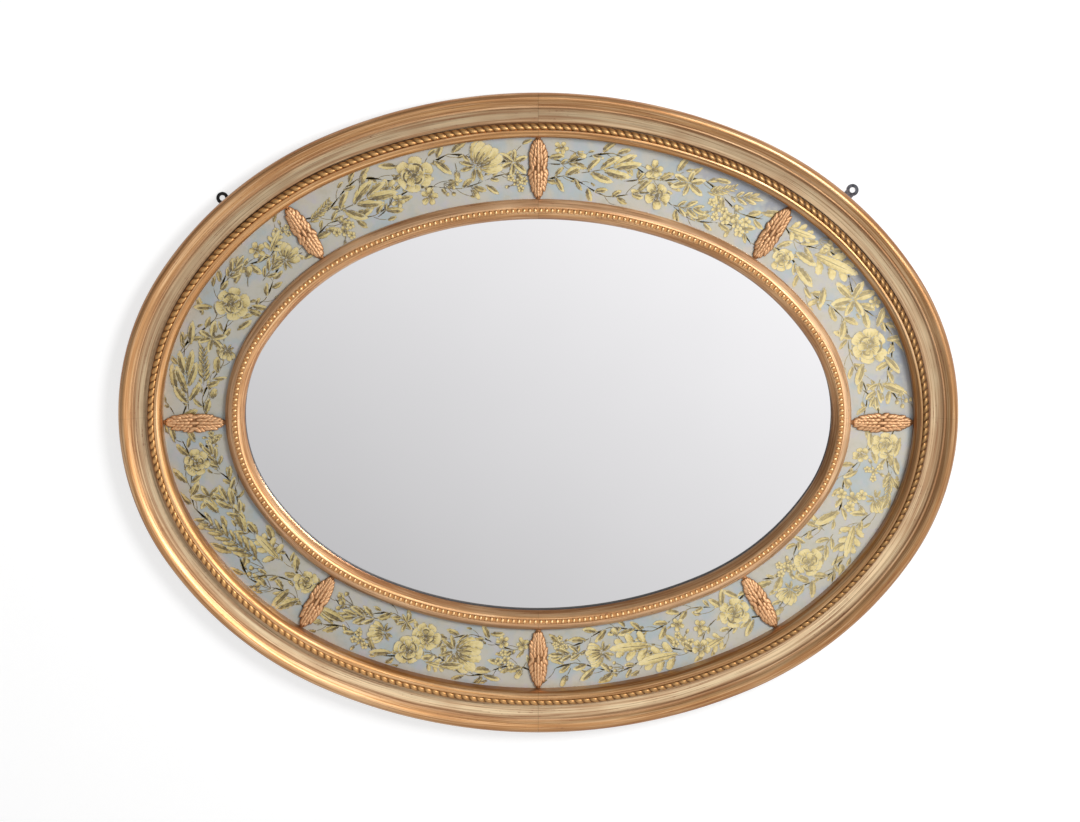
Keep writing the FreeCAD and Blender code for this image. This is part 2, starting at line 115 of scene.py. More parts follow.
def toLinear(colour):
    parts = [int(colour[i:i + 2], 16) / 255 for i in (1, 3, 5)]
    return [p / 12.92 if p <= 0.04045 else ((p + 0.055) / 1.055) ** 2.4 for p in parts] + [1]


# Kinds of node: the type, its fixed settings, the settings and inputs that a call gives in turn, and the
# output that it gets back, or None for all. A noise takes 1 over the width of its patches, in metres.
nodeKinds = {
    "attribute": ("Attribute", {}, ["attribute_name"], "Fac"),
    "place": ("TexCoord", {}, [], "Object"),
    "direction": ("TexCoord", {}, [], "Generated"),
    "ray": ("LightPath", {}, [], None),
    "behind": ("NewGeometry", {}, [], "Backfacing"),
    "split": ("SeparateXYZ", {}, [0], None),
    "join": ("CombineXYZ", {}, [0, 1], 0),
    "rotate": ("VectorRotate", {"rotation_type": "Y_AXIS"}, ["Vector", "Angle"], 0),
    "shift": ("Mapping", {}, ["Vector", "Location", "Scale"], 0),
    "noise": ("TexNoise", {"Roughness": 0.55}, ["Vector", "Scale", "Detail", "Roughness"], "Fac"),
    "wave": ("TexWave", {"bands_direction": "Z"},
             ["Vector", "Scale", "Distortion", "Detail", "Detail Scale"], "Fac"),
    "ramp": ("ValToRGB", {}, ["Fac", "stops"], "Color"),
    "share": ("MapRange", {}, ["Value", "From Min", "From Max"], "Result"),
    "fit": ("MapRange", {"interpolation_type": "SMOOTHSTEP"},
            ["Value", "From Min", "From Max", "To Min", "To Max"], "Result"),
    "mix": ("Mix", {"data_type": "RGBA"}, [0, 6, 7], 2),
    "tint": ("Mix", {"data_type": "RGBA", "blend_type": "MULTIPLY"}, [0, 6, 7], 2),
    "bump": ("Bump", {}, ["Height", "Strength", "Distance"], 0),
    "shader": ("BsdfPrincipled", {}, [], 0),
    "matt": ("BsdfDiffuse", {}, ["Color"], 0),
    "glow": ("Emission", {}, ["Strength"], 0),
    "clear": ("BsdfTransparent", {}, [], 0),
    "both": ("AddShader", {}, [0, 1], 0),
    "either": ("MixShader", {}, [0, 1, 2], 0),
    "surface": ("OutputMaterial", {}, ["Surface"], None),
    "background": ("Background", {"Color": (1, 1, 1, 1)}, ["Strength"], 0),
    "surroundings": ("OutputWorld", {}, ["Surface"], None),
}


# A colour ramp's stops, each a place and a colour or a level
def fillStops(elements, stops):
    while len(elements) < len(stops):
        elements.new(1)
    for element, (place, shade) in zip(elements, sorted(stops)):
        element.position = place
        element.color = toLinear(shade) if isinstance(shade, str) else (shade, shade, shade, 1)


# Adds a node with its settings and links. Any kind that isn't listed is the operation of a Math node.
def addNode(tree, kind, *inputs, **settings):
    nodeType, fixed, order, output = nodeKinds.get(kind, ("Math", {"operation": kind}, [0, 1, 2], 0))
    made = tree.nodes.new("ShaderNode" + nodeType)
    for key, value in [*fixed.items(), *settings.items(), *zip(order, inputs)]:
        if isinstance(value, bpy.types.NodeSocket):
            tree.links.new(value, made.inputs[key])
        elif key == "stops":
            fillStops(made.color_ramp.elements, value)
        elif isinstance(key, int) or key in made.inputs:
            made.inputs[key].default_value = toLinear(value) if isinstance(value, str) else value
        else:
            setattr(made, key, value)
    return made.outputs if output is None else made.outputs[output]


def newMaterial(name):
    made = bpy.data.materials.new(name)
    made.use_nodes = True
    made.node_tree.nodes.clear()
    return made, partial(addNode, made.node_tree)


# Heights are patterns with the strength and the distance of their bump.
def finishMaterial(add, colour, roughness, metal=0.0, heights=(), **coat):
    normal = {}
    for height in heights:
        normal = {"Normal": add("bump", *height, **normal)}
    settings = {"Base Color": colour, "Roughness": roughness, "Metallic": metal, **coat, **normal}
    add("surface", add("shader", **settings))


# Nearly all of a noise lies between these values.
noiseSpan = (0.3, 0.7)


# Lays tones over a colour, each as its pattern, where that sets in and is full, its share and its colour.
def layTones(add, colour, patterns, tones):
    for name, low, high, share, tone in tones:
        colour = add("mix", add("fit", patterns[name], low, high, 0, share), colour, tone)
    return colour


# Streaks that follow a piece, of a length and width in millimetres
def streaksOf(add, across, length, width, detail):
    along = add("MULTIPLY", add("attribute", "along"), 1 / length)
    return add("noise", add("join", along, add("MULTIPLY", across, 1 / width)), 1.0, detail)


# Lightens or darkens a colour towards the right end and the top; on the gilding, the carving and the painted
# gold this is painted light and shade
def tintTowardsRightAndTop(add, colour, place, sideways, upward):
    way, factor = add("split", place), 1.0
    for axis, change in (("X", sideways), ("Z", upward)):
        factor = add("MULTIPLY_ADD", add("DIVIDE", way[axis], halfSizes[axis]), change, factor)
    return add("tint", 1.0, colour, factor)


# Water gilding over red bole on gesso: burnished on the rounds, left matt in the hollow, rubbed and toned.
# The lists run over the section from its outer to its inner inset, so each member has its own. Sideways and
# upward say how much lighter each member is made at the right end and at the top than in the middle: partly
# rubbed leaf and partly painted light and shade for how the lamp falls on it round the oval. The near-black
# quirk and the dark seat of the rope, darkest at the right end, and the darker step between torus and bead are
# painted shade; the paler shades of the slip's outer slope are a painted highlight.
gilding = {
    "moulding": {
        "from": 0.0, "to": 62.0,
        "shades": [
            (0.0, "#8E6240"), (1.5, "#A06C46"), (3.0, "#B08156"), (7.0, "#B78657"), (11.0, "#C2915F"),
            (16.5, "#C69A6A"), (17.4, "#AD8056"), (18.6, "#C09468"), (20.5, "#BE9670"), (21.8, "#C09C76"),
            (23.5, "#D0B48E"), (28.0, "#D8C4A0"), (35.0, "#D4BD99"), (39.6, "#C6A680"), (40.8, "#4A2F16"),
            (43.2, "#34200B"), (44.6, "#74501E"), (49.4, "#B98550"), (51.0, "#DCA870"), (54.0, "#B08253"),
            (58.0, "#C8965F"), (61.9, "#A8713E"),
        ],
        "finish": [(0, 0.38), (16, 0.42), (18, 0.54), (21, 0.56), (24, 0.62), (39, 0.6), (42, 0.5), (52, 0.38),
                   (62, 0.4)],
        "metal": [(0, 0.84), (16, 0.84), (18, 0.7), (21, 0.66), (24, 0.45), (39, 0.45), (42, 0.75), (52, 0.86),
                  (62, 0.84)],
        "sideways": [(0, 0.24), (2, 0.0), (9, -0.2), (16, -0.14), (19, -0.24), (22, -0.08), (26, 0.1),
                     (36, 0.08), (39, -0.2), (41, -0.65), (44, -0.6), (52, -0.42), (62, -0.3)],
        "upward": [(0, 0.1), (6, 0.0), (9, -0.02), (16, -0.04), (24, -0.04), (33, -0.14), (38, -0.08),
                   (43, 0.0), (52, 0.02), (62, 0.04)],
    },
    "slip": {
        "from": 149.5, "to": 177.5,
        "shades": [
            (149.5, "#C8966A"), (151.0, "#EAC096"), (155.0, "#EEC69C"), (158.8, "#DFB084"), (159.8, "#CC9A6A"),
            (160.4, "#BE8C5A"), (166.6, "#BE8C5A"), (167.2, "#CC9A6A"), (168.2, "#CE9E6E"), (174.0, "#C8966A"),
            (177.3, "#A8703E"),
        ],
        "finish": [(149.5, 0.52), (159, 0.46), (161, 0.42), (166, 0.4), (168.5, 0.38), (177.5, 0.4)],
        "metal": [(149.5, 0.55), (158, 0.65), (161, 0.85), (168, 0.88), (177.5, 0.86)],
        "sideways": [(149.5, 0.18), (159, 0.1), (163, -0.1), (169, -0.22), (177.5, -0.22)],
        "upward": [(149.5, 0.12), (159, 0.0), (169, -0.05), (177.5, -0.05)],
    },
}
# The leaf was laid and rubbed along the length, in streaks about 110 by 1.5 mm and bands about 250 by 6 mm.
# Red bole shows in flecks 2 to 8 mm long where it is rubbed through, and a glued joint is a dark hairline.
goldLeaf = {
    "streaks": (110, 1.5, 3.0), "bands": (250, 6, 2.0), "clouds": 0.09, "grain": 0.0035, "flecks": 0.005,
    "bole": ("flecks", 0.34, 0.42, 0.6, "#84492A"), "joint": ("joint", 0.93, 0.98, 0.28, "#5E3F24"),
    "tones": [("bands", 0.46, 0.64, 0.62, "#9A6A42"), ("bands", 0.5, 0.32, 0.4, "#EBCBA2"),
              ("streaks", 0.5, 0.68, 0.65, "#865834"), ("streaks", 0.5, 0.3, 0.5, "#F0D2A8"),
              ("clouds", 0.42, 0.66, 0.35, "#AC8058")],
    "roughnessSpread": 0.16, "streakBump": (0.12, 0.0004), "grainBump": (0.16, 0.0003),
}


def gildedSection(name, settings):
    material, add = newMaterial(name)
    inset, place = add("attribute", "inset"), add("place")
    begin, width = settings["from"], settings["to"] - settings["from"]
    share = add("share", inset, begin, settings["to"])

    # What a list says at this inset. A ramp holds nothing under 0, so a change is raised and lowered again.
    def member(key, raised=0):
        stops = [((at - begin) / width, level + raised if raised else level) for at, level in settings[key]]
        level = add("ramp", share, stops)
        return add("SUBTRACT", level, raised) if raised else level

    grain = add("noise", place, 1 / goldLeaf["grain"], 4.0, 0.6)
    streaks = streaksOf(add, inset, *goldLeaf["streaks"])
    flecks = add("MULTIPLY", add("noise", place, 1 / goldLeaf["flecks"], 3.0), streaks)
    patterns = {"streaks": streaks, "bands": streaksOf(add, inset, *goldLeaf["bands"]), "flecks": flecks,
                "clouds": add("noise", place, 1 / goldLeaf["clouds"], 2.0), "joint": add("attribute", "joint")}
    tones = goldLeaf["tones"] + [goldLeaf["bole"], goldLeaf["joint"]]
    colour = layTones(add, member("shades"), patterns, tones)
    # Painted light and shade: each member lighter or darker towards the right end and the top
    colour = tintTowardsRightAndTop(add, colour, place, member("sideways", 0.5), member("upward", 0.5))
    low, high, bole = goldLeaf["bole"][1:4]
    metal = add("MULTIPLY", add("SUBTRACT", 1.0, add("fit", flecks, low, high, 0, bole)), member("metal"))
    spread = goldLeaf["roughnessSpread"]
    roughness = add("ADD", member("finish"), add("MULTIPLY_ADD", grain, spread, -spread / 2))
    heights = [(streaks, *goldLeaf["streakBump"]), (grain, *goldLeaf["grainBump"])]
    finishMaterial(add, colour, roughness, metal, heights)
    return material


# Carved and gilt ornament, coloured by the height in its relief: dark in the cuts, at the feet of the pearls
# and under the leaves of the clasps, rubbed bright on the crests. The dark is partly toning left in the cuts
# and partly painted shade. Shades are those of the cuts, slopes and crests, at the given levels of the relief.
# Sideways and upward lighten or darken it towards the right end and the top, as painted light and shade.
carving = {
    "rope": {"shades": ("#4A2E14", "#855B32", "#BE925E"), "metal": 0.84, "roughness": (0.36, 0.48),
             "sideways": -0.4, "upward": -0.02},
    "pearls": {"shades": ("#9A6A3E", "#C8925C", "#EBC08A"), "metal": 0.84, "roughness": (0.32, 0.46),
               "sideways": -0.04, "upward": -0.08},
    "clasps": {"shades": ("#5A3A20", "#AC7A50", "#D8AA7E"), "metal": 0.66, "roughness": (0.44, 0.58),
               "sideways": 0.0, "upward": -0.06},
}
carvedLeaf = {"patches": 0.012, "grain": 0.0025, "spread": 0.24, "levels": (0.06, 0.4, 0.92),
              "bole": ("patches", 0.62, 0.75, 0.4, "#8A5632"), "cutMetal": 0.1, "metalFrom": (0.05, 0.35),
              "bump": (0.2, 0.0003)}


def gildedCarving(name, settings):
    material, add = newMaterial(name)
    place, spread = add("place"), carvedLeaf["spread"]
    patches = add("noise", place, 1 / carvedLeaf["patches"], 3.0)
    grain = add("noise", place, 1 / carvedLeaf["grain"], 4.0, 0.6)
    height = add("ADD", add("attribute", "relief"), add("MULTIPLY_ADD", patches, spread, -spread / 2))
    # Painted shade in part: the lower the relief, the darker the colour
    colour = add("ramp", height, list(zip(carvedLeaf["levels"], settings["shades"])))
    colour = layTones(add, colour, {"patches": patches}, [carvedLeaf["bole"]])
    # Painted light and shade towards the right end and the top
    colour = tintTowardsRightAndTop(add, colour, place, settings["sideways"], settings["upward"])
    metal = add("fit", height, *carvedLeaf["metalFrom"], carvedLeaf["cutMetal"], settings["metal"])
    roughness = add("fit", grain, *noiseSpan, *settings["roughness"])
    finishMaterial(add, colour, roughness, metal, [(grain, *carvedLeaf["bump"])])
    return material


mouldingGilt, slipGilt = [gildedSection("water_gilt_" + name, gilding[name]) for name in ("moulding", "slip")]
ropeGilt, pearlGilt, claspGilt = [gildedCarving("water_gilt_" + name, carving[name]) for name in carving]


# Lamp-black paint in glue size on the slip's edge beside the mirror: dull, a little brown where thin
black = {"wear": 0.006, "full": "#17130F", "thin": ("wear", 0.5, 0.8, 0.5, "#3A2A1C"), "roughness": 0.6,
         "bump": (0.1, 0.0003)}


def paintedBlack():
    material, add = newMaterial("black_painted_edge")
    wear = add("noise", add("place"), 1 / black["wear"], 3.0)
    colour = layTones(add, black["full"], {"wear": wear}, [black["thin"]])
    finishMaterial(add, colour, black["roughness"], 0, [(wear, *black["bump"])])
    return material


# Float glass, silvered behind: a clean mirror with a trace of grey
silver = {"haze": 0.18, "greys": ("#F0EFF1", "#F4F3F5"), "roughness": (0.004, 0.012)}


def silveredGlass():
    material, add = newMaterial("silvered_mirror_glass")
    haze = add("noise", add("place"), 1 / silver["haze"], 2.0)
    roughness = add("fit", haze, *noiseSpan, *silver["roughness"])
    finishMaterial(add, add("mix", haze, *silver["greys"]), roughness, 1.0)
    return material


# Pale grey distemper behind the glass, here bluer and there warmer or lilac, in chalky clouds 25 to 50 mm
# wide. A blue-grey band is painted at the upper right along the frame's sight edge: painted shadow cast by the
# frame.
ground = {
    "clouds": 0.045, "mottle": 0.014, "blue": "#ABB5B6",
    "tones": [("clouds", 0.36, 0.56, 1, "#BFBBAE"), ("mottle", 0.48, 0.72, 0.55, "#B9B5BE"),
              ("mottle", 0.5, 0.24, 0.5, "#B2AE98")],
    "sight": {"X": 0.528, "Z": 0.396}, "shadowBand": "#787E8C", "shadowBandRim": (0.92, 0.995, 0, 0.75),
    "shadowBandFrom": {"X": (0.1, 0.3), "Z": (-0.04, 0.1)}, "rimSpread": 0.16, "sideways": 0.1, "upward": -0.03,
}
# The gloss of the glass over both its ground and its painting
underGlass = {"roughness": 0.4, "coat": {"Coat Weight": 1.0, "Coat Roughness": 0.03, "Coat IOR": 1.5},
              "groundBump": (0.03, 0.0002), "paintBump": (0.04, 0.0002)}


def groundColour(add, place):
    patterns = {"clouds": add("noise", place, 1 / ground["clouds"], 3.0),
                "mottle": add("noise", place, 1 / ground["mottle"], 4.0, 0.6)}
    colour = layTones(add, ground["blue"], patterns, ground["tones"])
    way = add("split", place)
    across, up = [add("POWER", add("DIVIDE", way[axis], ground["sight"][axis]), 2.0) for axis in ("X", "Z")]
    rim = add("MULTIPLY_ADD", add("SUBTRACT", patterns["mottle"], 0.5), ground["rimSpread"],
              add("SQRT", add("ADD", across, up)))
    # Painted shadow of the frame on the glass, along the upper-right sight edge
    shadowBand = add("fit", rim, *ground["shadowBandRim"])
    for axis in ("X", "Z"):
        shadowBand = add("MULTIPLY", shadowBand, add("fit", way[axis], *ground["shadowBandFrom"][axis], 0, 1))
    colour = add("mix", shadowBand, colour, ground["shadowBand"])
    return tintTowardsRightAndTop(add, colour, place, ground["sideways"], ground["upward"]), patterns["mottle"]


# Glass painted behind: a chalky ground under a gloss
def paintedGround():
    material, add = newMaterial("back_painted_glass")
    colour, mottle = groundColour(add, add("place"))
    finishMaterial(add, colour, underGlass["roughness"], 0, [(mottle, *underGlass["groundBump"])],
                   **underGlass["coat"])
    return material


# Flowers and leaves painted behind the glass in gold leaf and umber drawing. Tone runs from the umber to the
# pale gold of the lights, in brush marks 6 mm long and 0.8 mm wide along each stroke, and the gold is lost in
# places at the strokes' edges, where the ground shows. The gold is made darker towards the left end, brighter
# towards the right end and a little darker towards the top: painted shade and painted light on the gold leaf.
gold = {
    "marks": (6, 0.8, 2.0), "marksShare": 1.1, "touch": 0.005, "touchShare": 0.8,
    "tones": [(0.04, "#4A3C1C"), (0.28, "#8A7540"), (0.46, "#BFA866"), (0.64, "#DAC580"), (1.0, "#EAD8A0")],
    "ends": [("across", 0.2, -0.4, 0.12, "#7E6A34"), ("across", 0.0, 0.45, 0.34, "#DDCA94")],
    "sideways": 0.06, "upward": -0.03, "wear": 0.003, "wearShare": 0.6, "lost": (0.36, 0.3), "metal": 0.3,
}


def paintedSprays():
    material, add = newMaterial("painted_gold_sprays")
    place = add("place")
    marks = streaksOf(add, add("attribute", "across"), *gold["marks"])
    level = add("MULTIPLY_ADD", add("SUBTRACT", marks, 0.5), gold["marksShare"], add("attribute", "tone"))
    touch = add("SUBTRACT", add("noise", place, 1 / gold["touch"], 3.0), 0.5)
    colour = add("ramp", add("MULTIPLY_ADD", touch, gold["touchShare"], level), gold["tones"])
    # Painted shade towards the left end and painted light towards the right end of the oval
    colour = layTones(add, colour, {"across": add("split", place)["X"]}, gold["ends"])
    # More painted light towards the right end and painted shade towards the top
    colour = tintTowardsRightAndTop(add, colour, place, gold["sideways"], gold["upward"])
    wear = add("noise", place, 1 / gold["wear"], 3.0)
    edge = add("MULTIPLY_ADD", wear, gold["wearShare"], add("attribute", "edge"))
    lost = add("fit", edge, *gold["lost"], 0, 1)
    colour = add("mix", lost, colour, groundColour(add, place)[0])
    metal = add("fit", lost, 0, 1, gold["metal"], 0)
    finishMaterial(add, colour, underGlass["roughness"], metal, [(marks, *underGlass["paintBump"])],
                   **underGlass["coat"])
    return material


# Old pine, sawn and planed, darkened by handling and dust, with grain lines some 8 mm apart. They run along a
# board that lies under turn degrees from X. Shift takes each board from another part of the plank.
pine = {"grain": 0.008, "fibres": 0.0012, "stain": 0.12, "stretch": (0.05, 1.0, 1.0),
        "waveAtOne": 0.314, "waver": (26.0, 3.0, 0.3), "roughness": (0.62, 0.8),
        "grainBump": (0.12, 0.0005), "fibreBump": (0.2, 0.0003)}


def oldPine(name, turn, shift, pale, dark, dust):
    material, add = newMaterial(name)
    place = add("place")
    plank = add("shift", add("rotate", place, radians(turn)), (shift, shift, shift), pine["stretch"])
    # A wave texture of scale 1 repeats every 0.314 units.
    patterns = {"grain": add("wave", plank, pine["waveAtOne"] / pine["grain"], *pine["waver"]),
                "fibres": add("noise", plank, 1 / pine["fibres"], 3.0, 0.6),
                "stain": add("noise", place, 1 / pine["stain"], 3.0)}
    colour = layTones(add, pale, patterns, [("grain", 0.45, 1.0, 0.8, dark), ("fibres", 0.5, 0.8, 0.35, dark),
                                            ("stain", 0.42, 0.75, 0.6, dust)])
    heights = [(patterns["grain"], *pine["grainBump"]), (patterns["fibres"], *pine["fibreBump"])]
    roughness = add("fit", patterns["fibres"], *noiseSpan, *pine["roughness"])
    finishMaterial(add, colour, roughness, 0, heights)
    return material


# Fittings: wrought or cast metal with some tarnish in patches
tarnish = {"patches": 0.004, "fine": 0.0008, "stained": (0.4, 0.7, 1), "bump": (0.15, 0.0001)}


def tarnishedMetal(name, clean, stained, roughness, metal=1.0):
    material, add = newMaterial(name)
    place = add("place")
    patches = add("noise", place, 1 / tarnish["patches"], 4.0, 0.6)
    fine = add("noise", place, 1 / tarnish["fine"], 3.0)
    colour = layTones(add, clean, {"patches": patches}, [("patches", *tarnish["stained"], stained)])
    roughness = add("fit", fine, *noiseSpan, *roughness)
    finishMaterial(add, colour, roughness, metal, [(fine, *tarnish["bump"])])
    return material


materialOf = {
    "mirror_plate": silveredGlass(),
    "panel": paintedGround(),
    "border_bed": oldPine("pine_bed", 0, 0.0, "#C79C69", "#A2744A", "#7F5E40"),
    "backboard_lower": oldPine("pine_board_lower", 0, 1.3, "#A97B4C", "#7F5833", "#664A30"),
    "backboard_middle": oldPine("pine_board_middle", 0, 2.9, "#C3966A", "#976C44", "#70543A"),
    "backboard_upper": oldPine("pine_board_upper", 0, 4.1, "#AE804F", "#835A34", "#664A30"),
    "glazing_blocks": oldPine("pine_blocks", 90, 0.7, "#D0A876", "#A97C4E", "#8A6847"),
    # The two hanging plates are one steel, given a near-black copy on the left and a grey copy on the right:
    # painted shade and painted light
    "hanging_plate_left": tarnishedMetal("plate_steel_painted_shade", "#0E0D0D", "#1E1A18", (0.3, 0.45), 0.3),
    "hanging_plate_right": tarnishedMetal("plate_steel_painted_light", "#4E4F54", "#2C2C30", (0.32, 0.46)),
    "hanging_plate_screws": tarnishedMetal("brass_screws", "#C9A45C", "#8A6A36", (0.3, 0.45)),
    "clasp_pins": tarnishedMetal("brass_pins", "#C9A45C", "#8A6A36", (0.3, 0.45)),
    "screws": tarnishedMetal("steel_screws", "#8B8984", "#5C4A3A", (0.35, 0.55)),
}
ringTurns = {"right": 90, "upper_right": 125, "top": 0, "upper_left": 55, "left": 90, "lower_left": 125,
             "bottom": 0, "lower_right": 55}
ringShades = ("#9C6E42", "#A5784C", "#94673C")
for number, (side, turn) in enumerate(ringTurns.items()):
    materialOf["back_ring_" + side] = oldPine("stained_pine_" + side, turn, number * 0.9,
                                              ringShades[number % 3], "#74502E", "#5A3E28")
for name, node in nodes.items():
    key = next((k for k in materialOf if name.startswith(k)), "screws")
    if not node.material_slots:
        node.data.materials.append(None)
    for slot in node.material_slots:
        slot.material = materialOf[key]
print("materials made")


def addObject(name, data):
    made = bpy.data.objects.new(name, data)
    bpy.context.scene.collection.objects.link(made)
    return made


def addMesh(bm, name, materials):
    mesh = bpy.data.meshes.new(name)
    bm.to_mesh(mesh)
    bm.free()
    for material in materials:
        mesh.materials.append(material)
    return addObject(name, mesh)


# Turns a finished bmesh into a piece that rides on the object's one body.
def makePiece(bm, name, materials, replaced=(), sharpAngle=40):
    bmesh.ops.recalc_face_normals(bm, faces=bm.faces)
    piece = addMesh(bm, name, materials)
    piece.data.shade_smooth()
    piece.data.set_sharp_from_angle(angle=radians(sharpAngle))
    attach(piece, "root")
    for node in replaced:
        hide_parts(node)


def openEdges(bm):
    return [edge for edge in bm.edges if edge.is_boundary]


def fillHoles(bm):
    bmesh.ops.holes_fill(bm, edges=openEdges(bm), sides=0)


# Sections, as (inset, depth) points
def roundPoints(inset, depth, radius, begin, end, steps, narrow=1.0):
    angles = [radians(begin + (end - begin) * i / steps) for i in range(1, steps + 1)]
    return [(inset + radius * narrow * cos(a), depth + radius * sin(a)) for a in angles]


def bowPoints(start, end, bulge, steps):
    across, up = end[0] - start[0], end[1] - start[1]
    chord = hypot(across, up)
    radius = (chord ** 2 / 4 + bulge ** 2) / (2 * bulge)
    middle = ((start[0] + end[0]) / 2, (start[1] + end[1]) / 2)
    side = (-up / chord, across / chord)
    centre = (middle[0] + side[0] * (bulge - radius), middle[1] + side[1] * (bulge - radius))
    half = asin(min(1, chord / 2 / abs(radius)))
    points = []
    for i in range(1, steps + 1):
        angle = half * (2 * i / steps - 1)
        points.append((
            centre[0] + across / chord * abs(radius) * sin(angle) + side[0] * radius * cos(angle),
            centre[1] + up / chord * abs(radius) * sin(angle) + side[1] * radius * cos(angle),
        ))
    return points


# The moulding's torus, small bead, hollow, quirk, rope seat, crown and sight round, then the slip's slopes on
# both sides of the seat of its pearls. Each ends with the rebate behind it.
sections = {
    "moulding": [
        ("points", (1.94, 17), (0, 33)), ("round", 7.5, 33, 9, 180, 90, 8, 0.833),
        ("bow", (7.5, 42), (17.2, 37.9), 0.9, 6), ("round", 19.4, 35.7, 2.2, 150, 20, 5),
        ("points", (21.8, 35.9)), ("bow", (21.8, 35.9), (41, 31.0), -1.6, 10),
        ("points", (41.1, 27.7), (42.7, 27.7), (42.8, 34.3), (49.6, 41.1), (50.7, 44.2), (52.4, 45)),
        ("round", 52.4, 34, 11, 90, 0, 9, 0.873), ("points", (62, 20), (55, 20), (55, 17)),
    ],
    "slip": [
        ("points", (149.5, 20), (149.5, 26)), ("bow", (149.5, 26), (159.3, 36.5), 1.5, 7),
        ("points", (160.2, 36.5), (160.2, 35.7), (166.8, 35.7), (166.8, 36.5), (167.7, 36.5)),
        ("bow", (167.7, 36.5), (177.5, 23.5), 2.0, 7), ("points", (177.5, 17), (152.5, 17), (152.5, 20)),
    ],
}
sweep = {"jointGap": 0.002, "meanRadius": 450, "lengthInset": 30, "blackFrom": 177.4}


def sectionPoints(parts):
    makers = {"points": lambda *points: points, "round": roundPoints, "bow": bowPoints}
    return [point for kind, *values in parts for point in makers[kind](*values)]


# Runs a closed section along the oval by one spin for each arc, and notes on its points the inset, the length
# and whether they lie at a joint.
def sweepSection(section, first, last):
    bm = bmesh.new()
    new = bm.verts.layers.float.new
    insetLayer, alongLayer, jointLayer = new("inset"), new("along"), new("joint")
    first += degrees(sweep["jointGap"] / sweep["meanRadius"])
    last -= degrees(sweep["jointGap"] / sweep["meanRadius"])
    ring = []
    for inset, depth in section:
        vert = bm.verts.new(spot(first, inset, depth))
        vert[insetLayer] = inset
        ring.append(vert)
    edges = [bm.edges.new((ring[i - 1], ring[i])) for i in range(len(ring))]
    bmesh.ops.contextual_create(bm, geom=edges)
    bmesh.ops.delete(bm, geom=list(bm.faces), context="FACES_ONLY")
    geometry = ring + edges
    stretch = stretchOf(first, last)
    for x, z, radius, begin, end in stretch:
        made = bmesh.ops.spin(bm, geom=geometry, cent=Vector((x, 0, z)) * mm, axis=(0, -1, 0),
                              angle=radians(end - begin), steps=max(2, round(end - begin)))
        geometry = made["geom_last"]
    fillHoles(bm)
    lap = 360 if first < 90 else 0  # so that the lengths start anew at the top joint alone
    for vert in bm.verts:
        turn = turnOf(vert.co, stretch)
        vert[alongLayer] = lengthTo(turn + lap, sweep["lengthInset"])
        vert[jointLayer] = 1.0 if min(turn - first, last - turn) < 0.01 else 0.0
    return bm


for name, first in quarters.items():
    bm = sweepSection(sectionPoints(sections["moulding"]), first, first + 90)
    makePiece(bm, "front_moulding_" + name, [mouldingGilt], ["moulding_" + name])
print("mouldings swept")

# The slip's inner edge, beside the mirror, is painted black.
for name, first in quarters.items():
    bm = sweepSection(sectionPoints(sections["slip"]), first, first + 90)
    insetLayer = bm.verts.layers.float["inset"]
    for face in bm.faces:
        inner = all(vert[insetLayer] > sweep["blackFrom"] for vert in face.verts)
        face.material_index = 1 if inner and len(face.verts) == 4 else 0
    makePiece(bm, "border_slip_" + name, [slipGilt, paintedBlack()], ["slip_" + name])
print("slips swept")

# The carved rope: a half round on the sloping seat, cut into strands that lean as they cross it. A turn of the
# rope has 8 rows of 8 faces. Beside the crown its relief is coloured lighter, and on its outer side darker.
rope = {"inset": 47.0, "depth": 39.4, "layInset": 42, "crest": 5.3, "cut": 3.9, "turnsInQuarter": 70,
        "rows": 8, "columns": 7, "lean": 0.95, "roundness": 0.62, "around": 1.1, "start": 0.13,
        "sideRelief": 0.35, "innerRelief": 0.45, "innerRise": 0.4, "sharpAngle": 70}


def carveRope(first):
    bm = bmesh.new()
    reliefLayer = bm.verts.layers.float.new("relief")
    rows, columns, lay = rope["turnsInQuarter"] * rope["rows"], rope["columns"] + 1, rope["layInset"]
    bmesh.ops.create_grid(bm, x_segments=rows, y_segments=columns, size=1)
    begin, end = lengthTo(first, lay), lengthTo(first + 90, lay)
    pitch = (end - begin) / rope["turnsInQuarter"]
    for vert in bm.verts:
        row = round((vert.co.x + 1) / 2 * rows)
        column = round((vert.co.y + 1) / 2 * columns) % columns
        share = column / rope["columns"]
        rise = sin(pi * (row % rope["rows"]) / rope["rows"]) ** rope["roundness"]
        radius = rope["cut"]
        if 0 < column < rope["columns"]:
            radius += (rope["crest"] - rope["cut"]) * rise
        angle = pi * (rope["around"] * share + rope["start"])
        length = begin + pitch * (row / rope["rows"] + rope["lean"] * (share - 0.5))
        vert.co = spot(turnAt(length, lay), rope["inset"] + radius * cos(angle),
                       rope["depth"] + radius * sin(angle))
        inner, least = max(0.0, 1 - 2 * share), rope["sideRelief"]
        relief = rise * (least + (1 - least) * sin(pi * share))
        vert[reliefLayer] = relief * (1 - inner) + inner * (rope["innerRelief"] + rope["innerRise"] * rise)
    bmesh.ops.remove_doubles(bm, verts=bm.verts, dist=1e-6)
    fillHoles(bm)
    return bm


for name, first in quarters.items():
    makePiece(carveRope(first), "carved_rope_" + name, [ropeGilt], ["rope_strip_" + name],
              rope["sharpAngle"])
print("rope carved")

# Turned pearls on the slip, longer across it than along it, with gaps between them, on a low fillet
pearls = {"inset": 163.5, "seat": 35.7, "across": 3.6, "along": 2.7, "height": 2.9, "inQuarter": 73,
          "fillet": (161.3, 165.7, 36.3), "filletRelief": 0.35, "faces": (10, 6), "sunk": 0.3,
          "roundness": 0.6, "sharpAngle": 60}


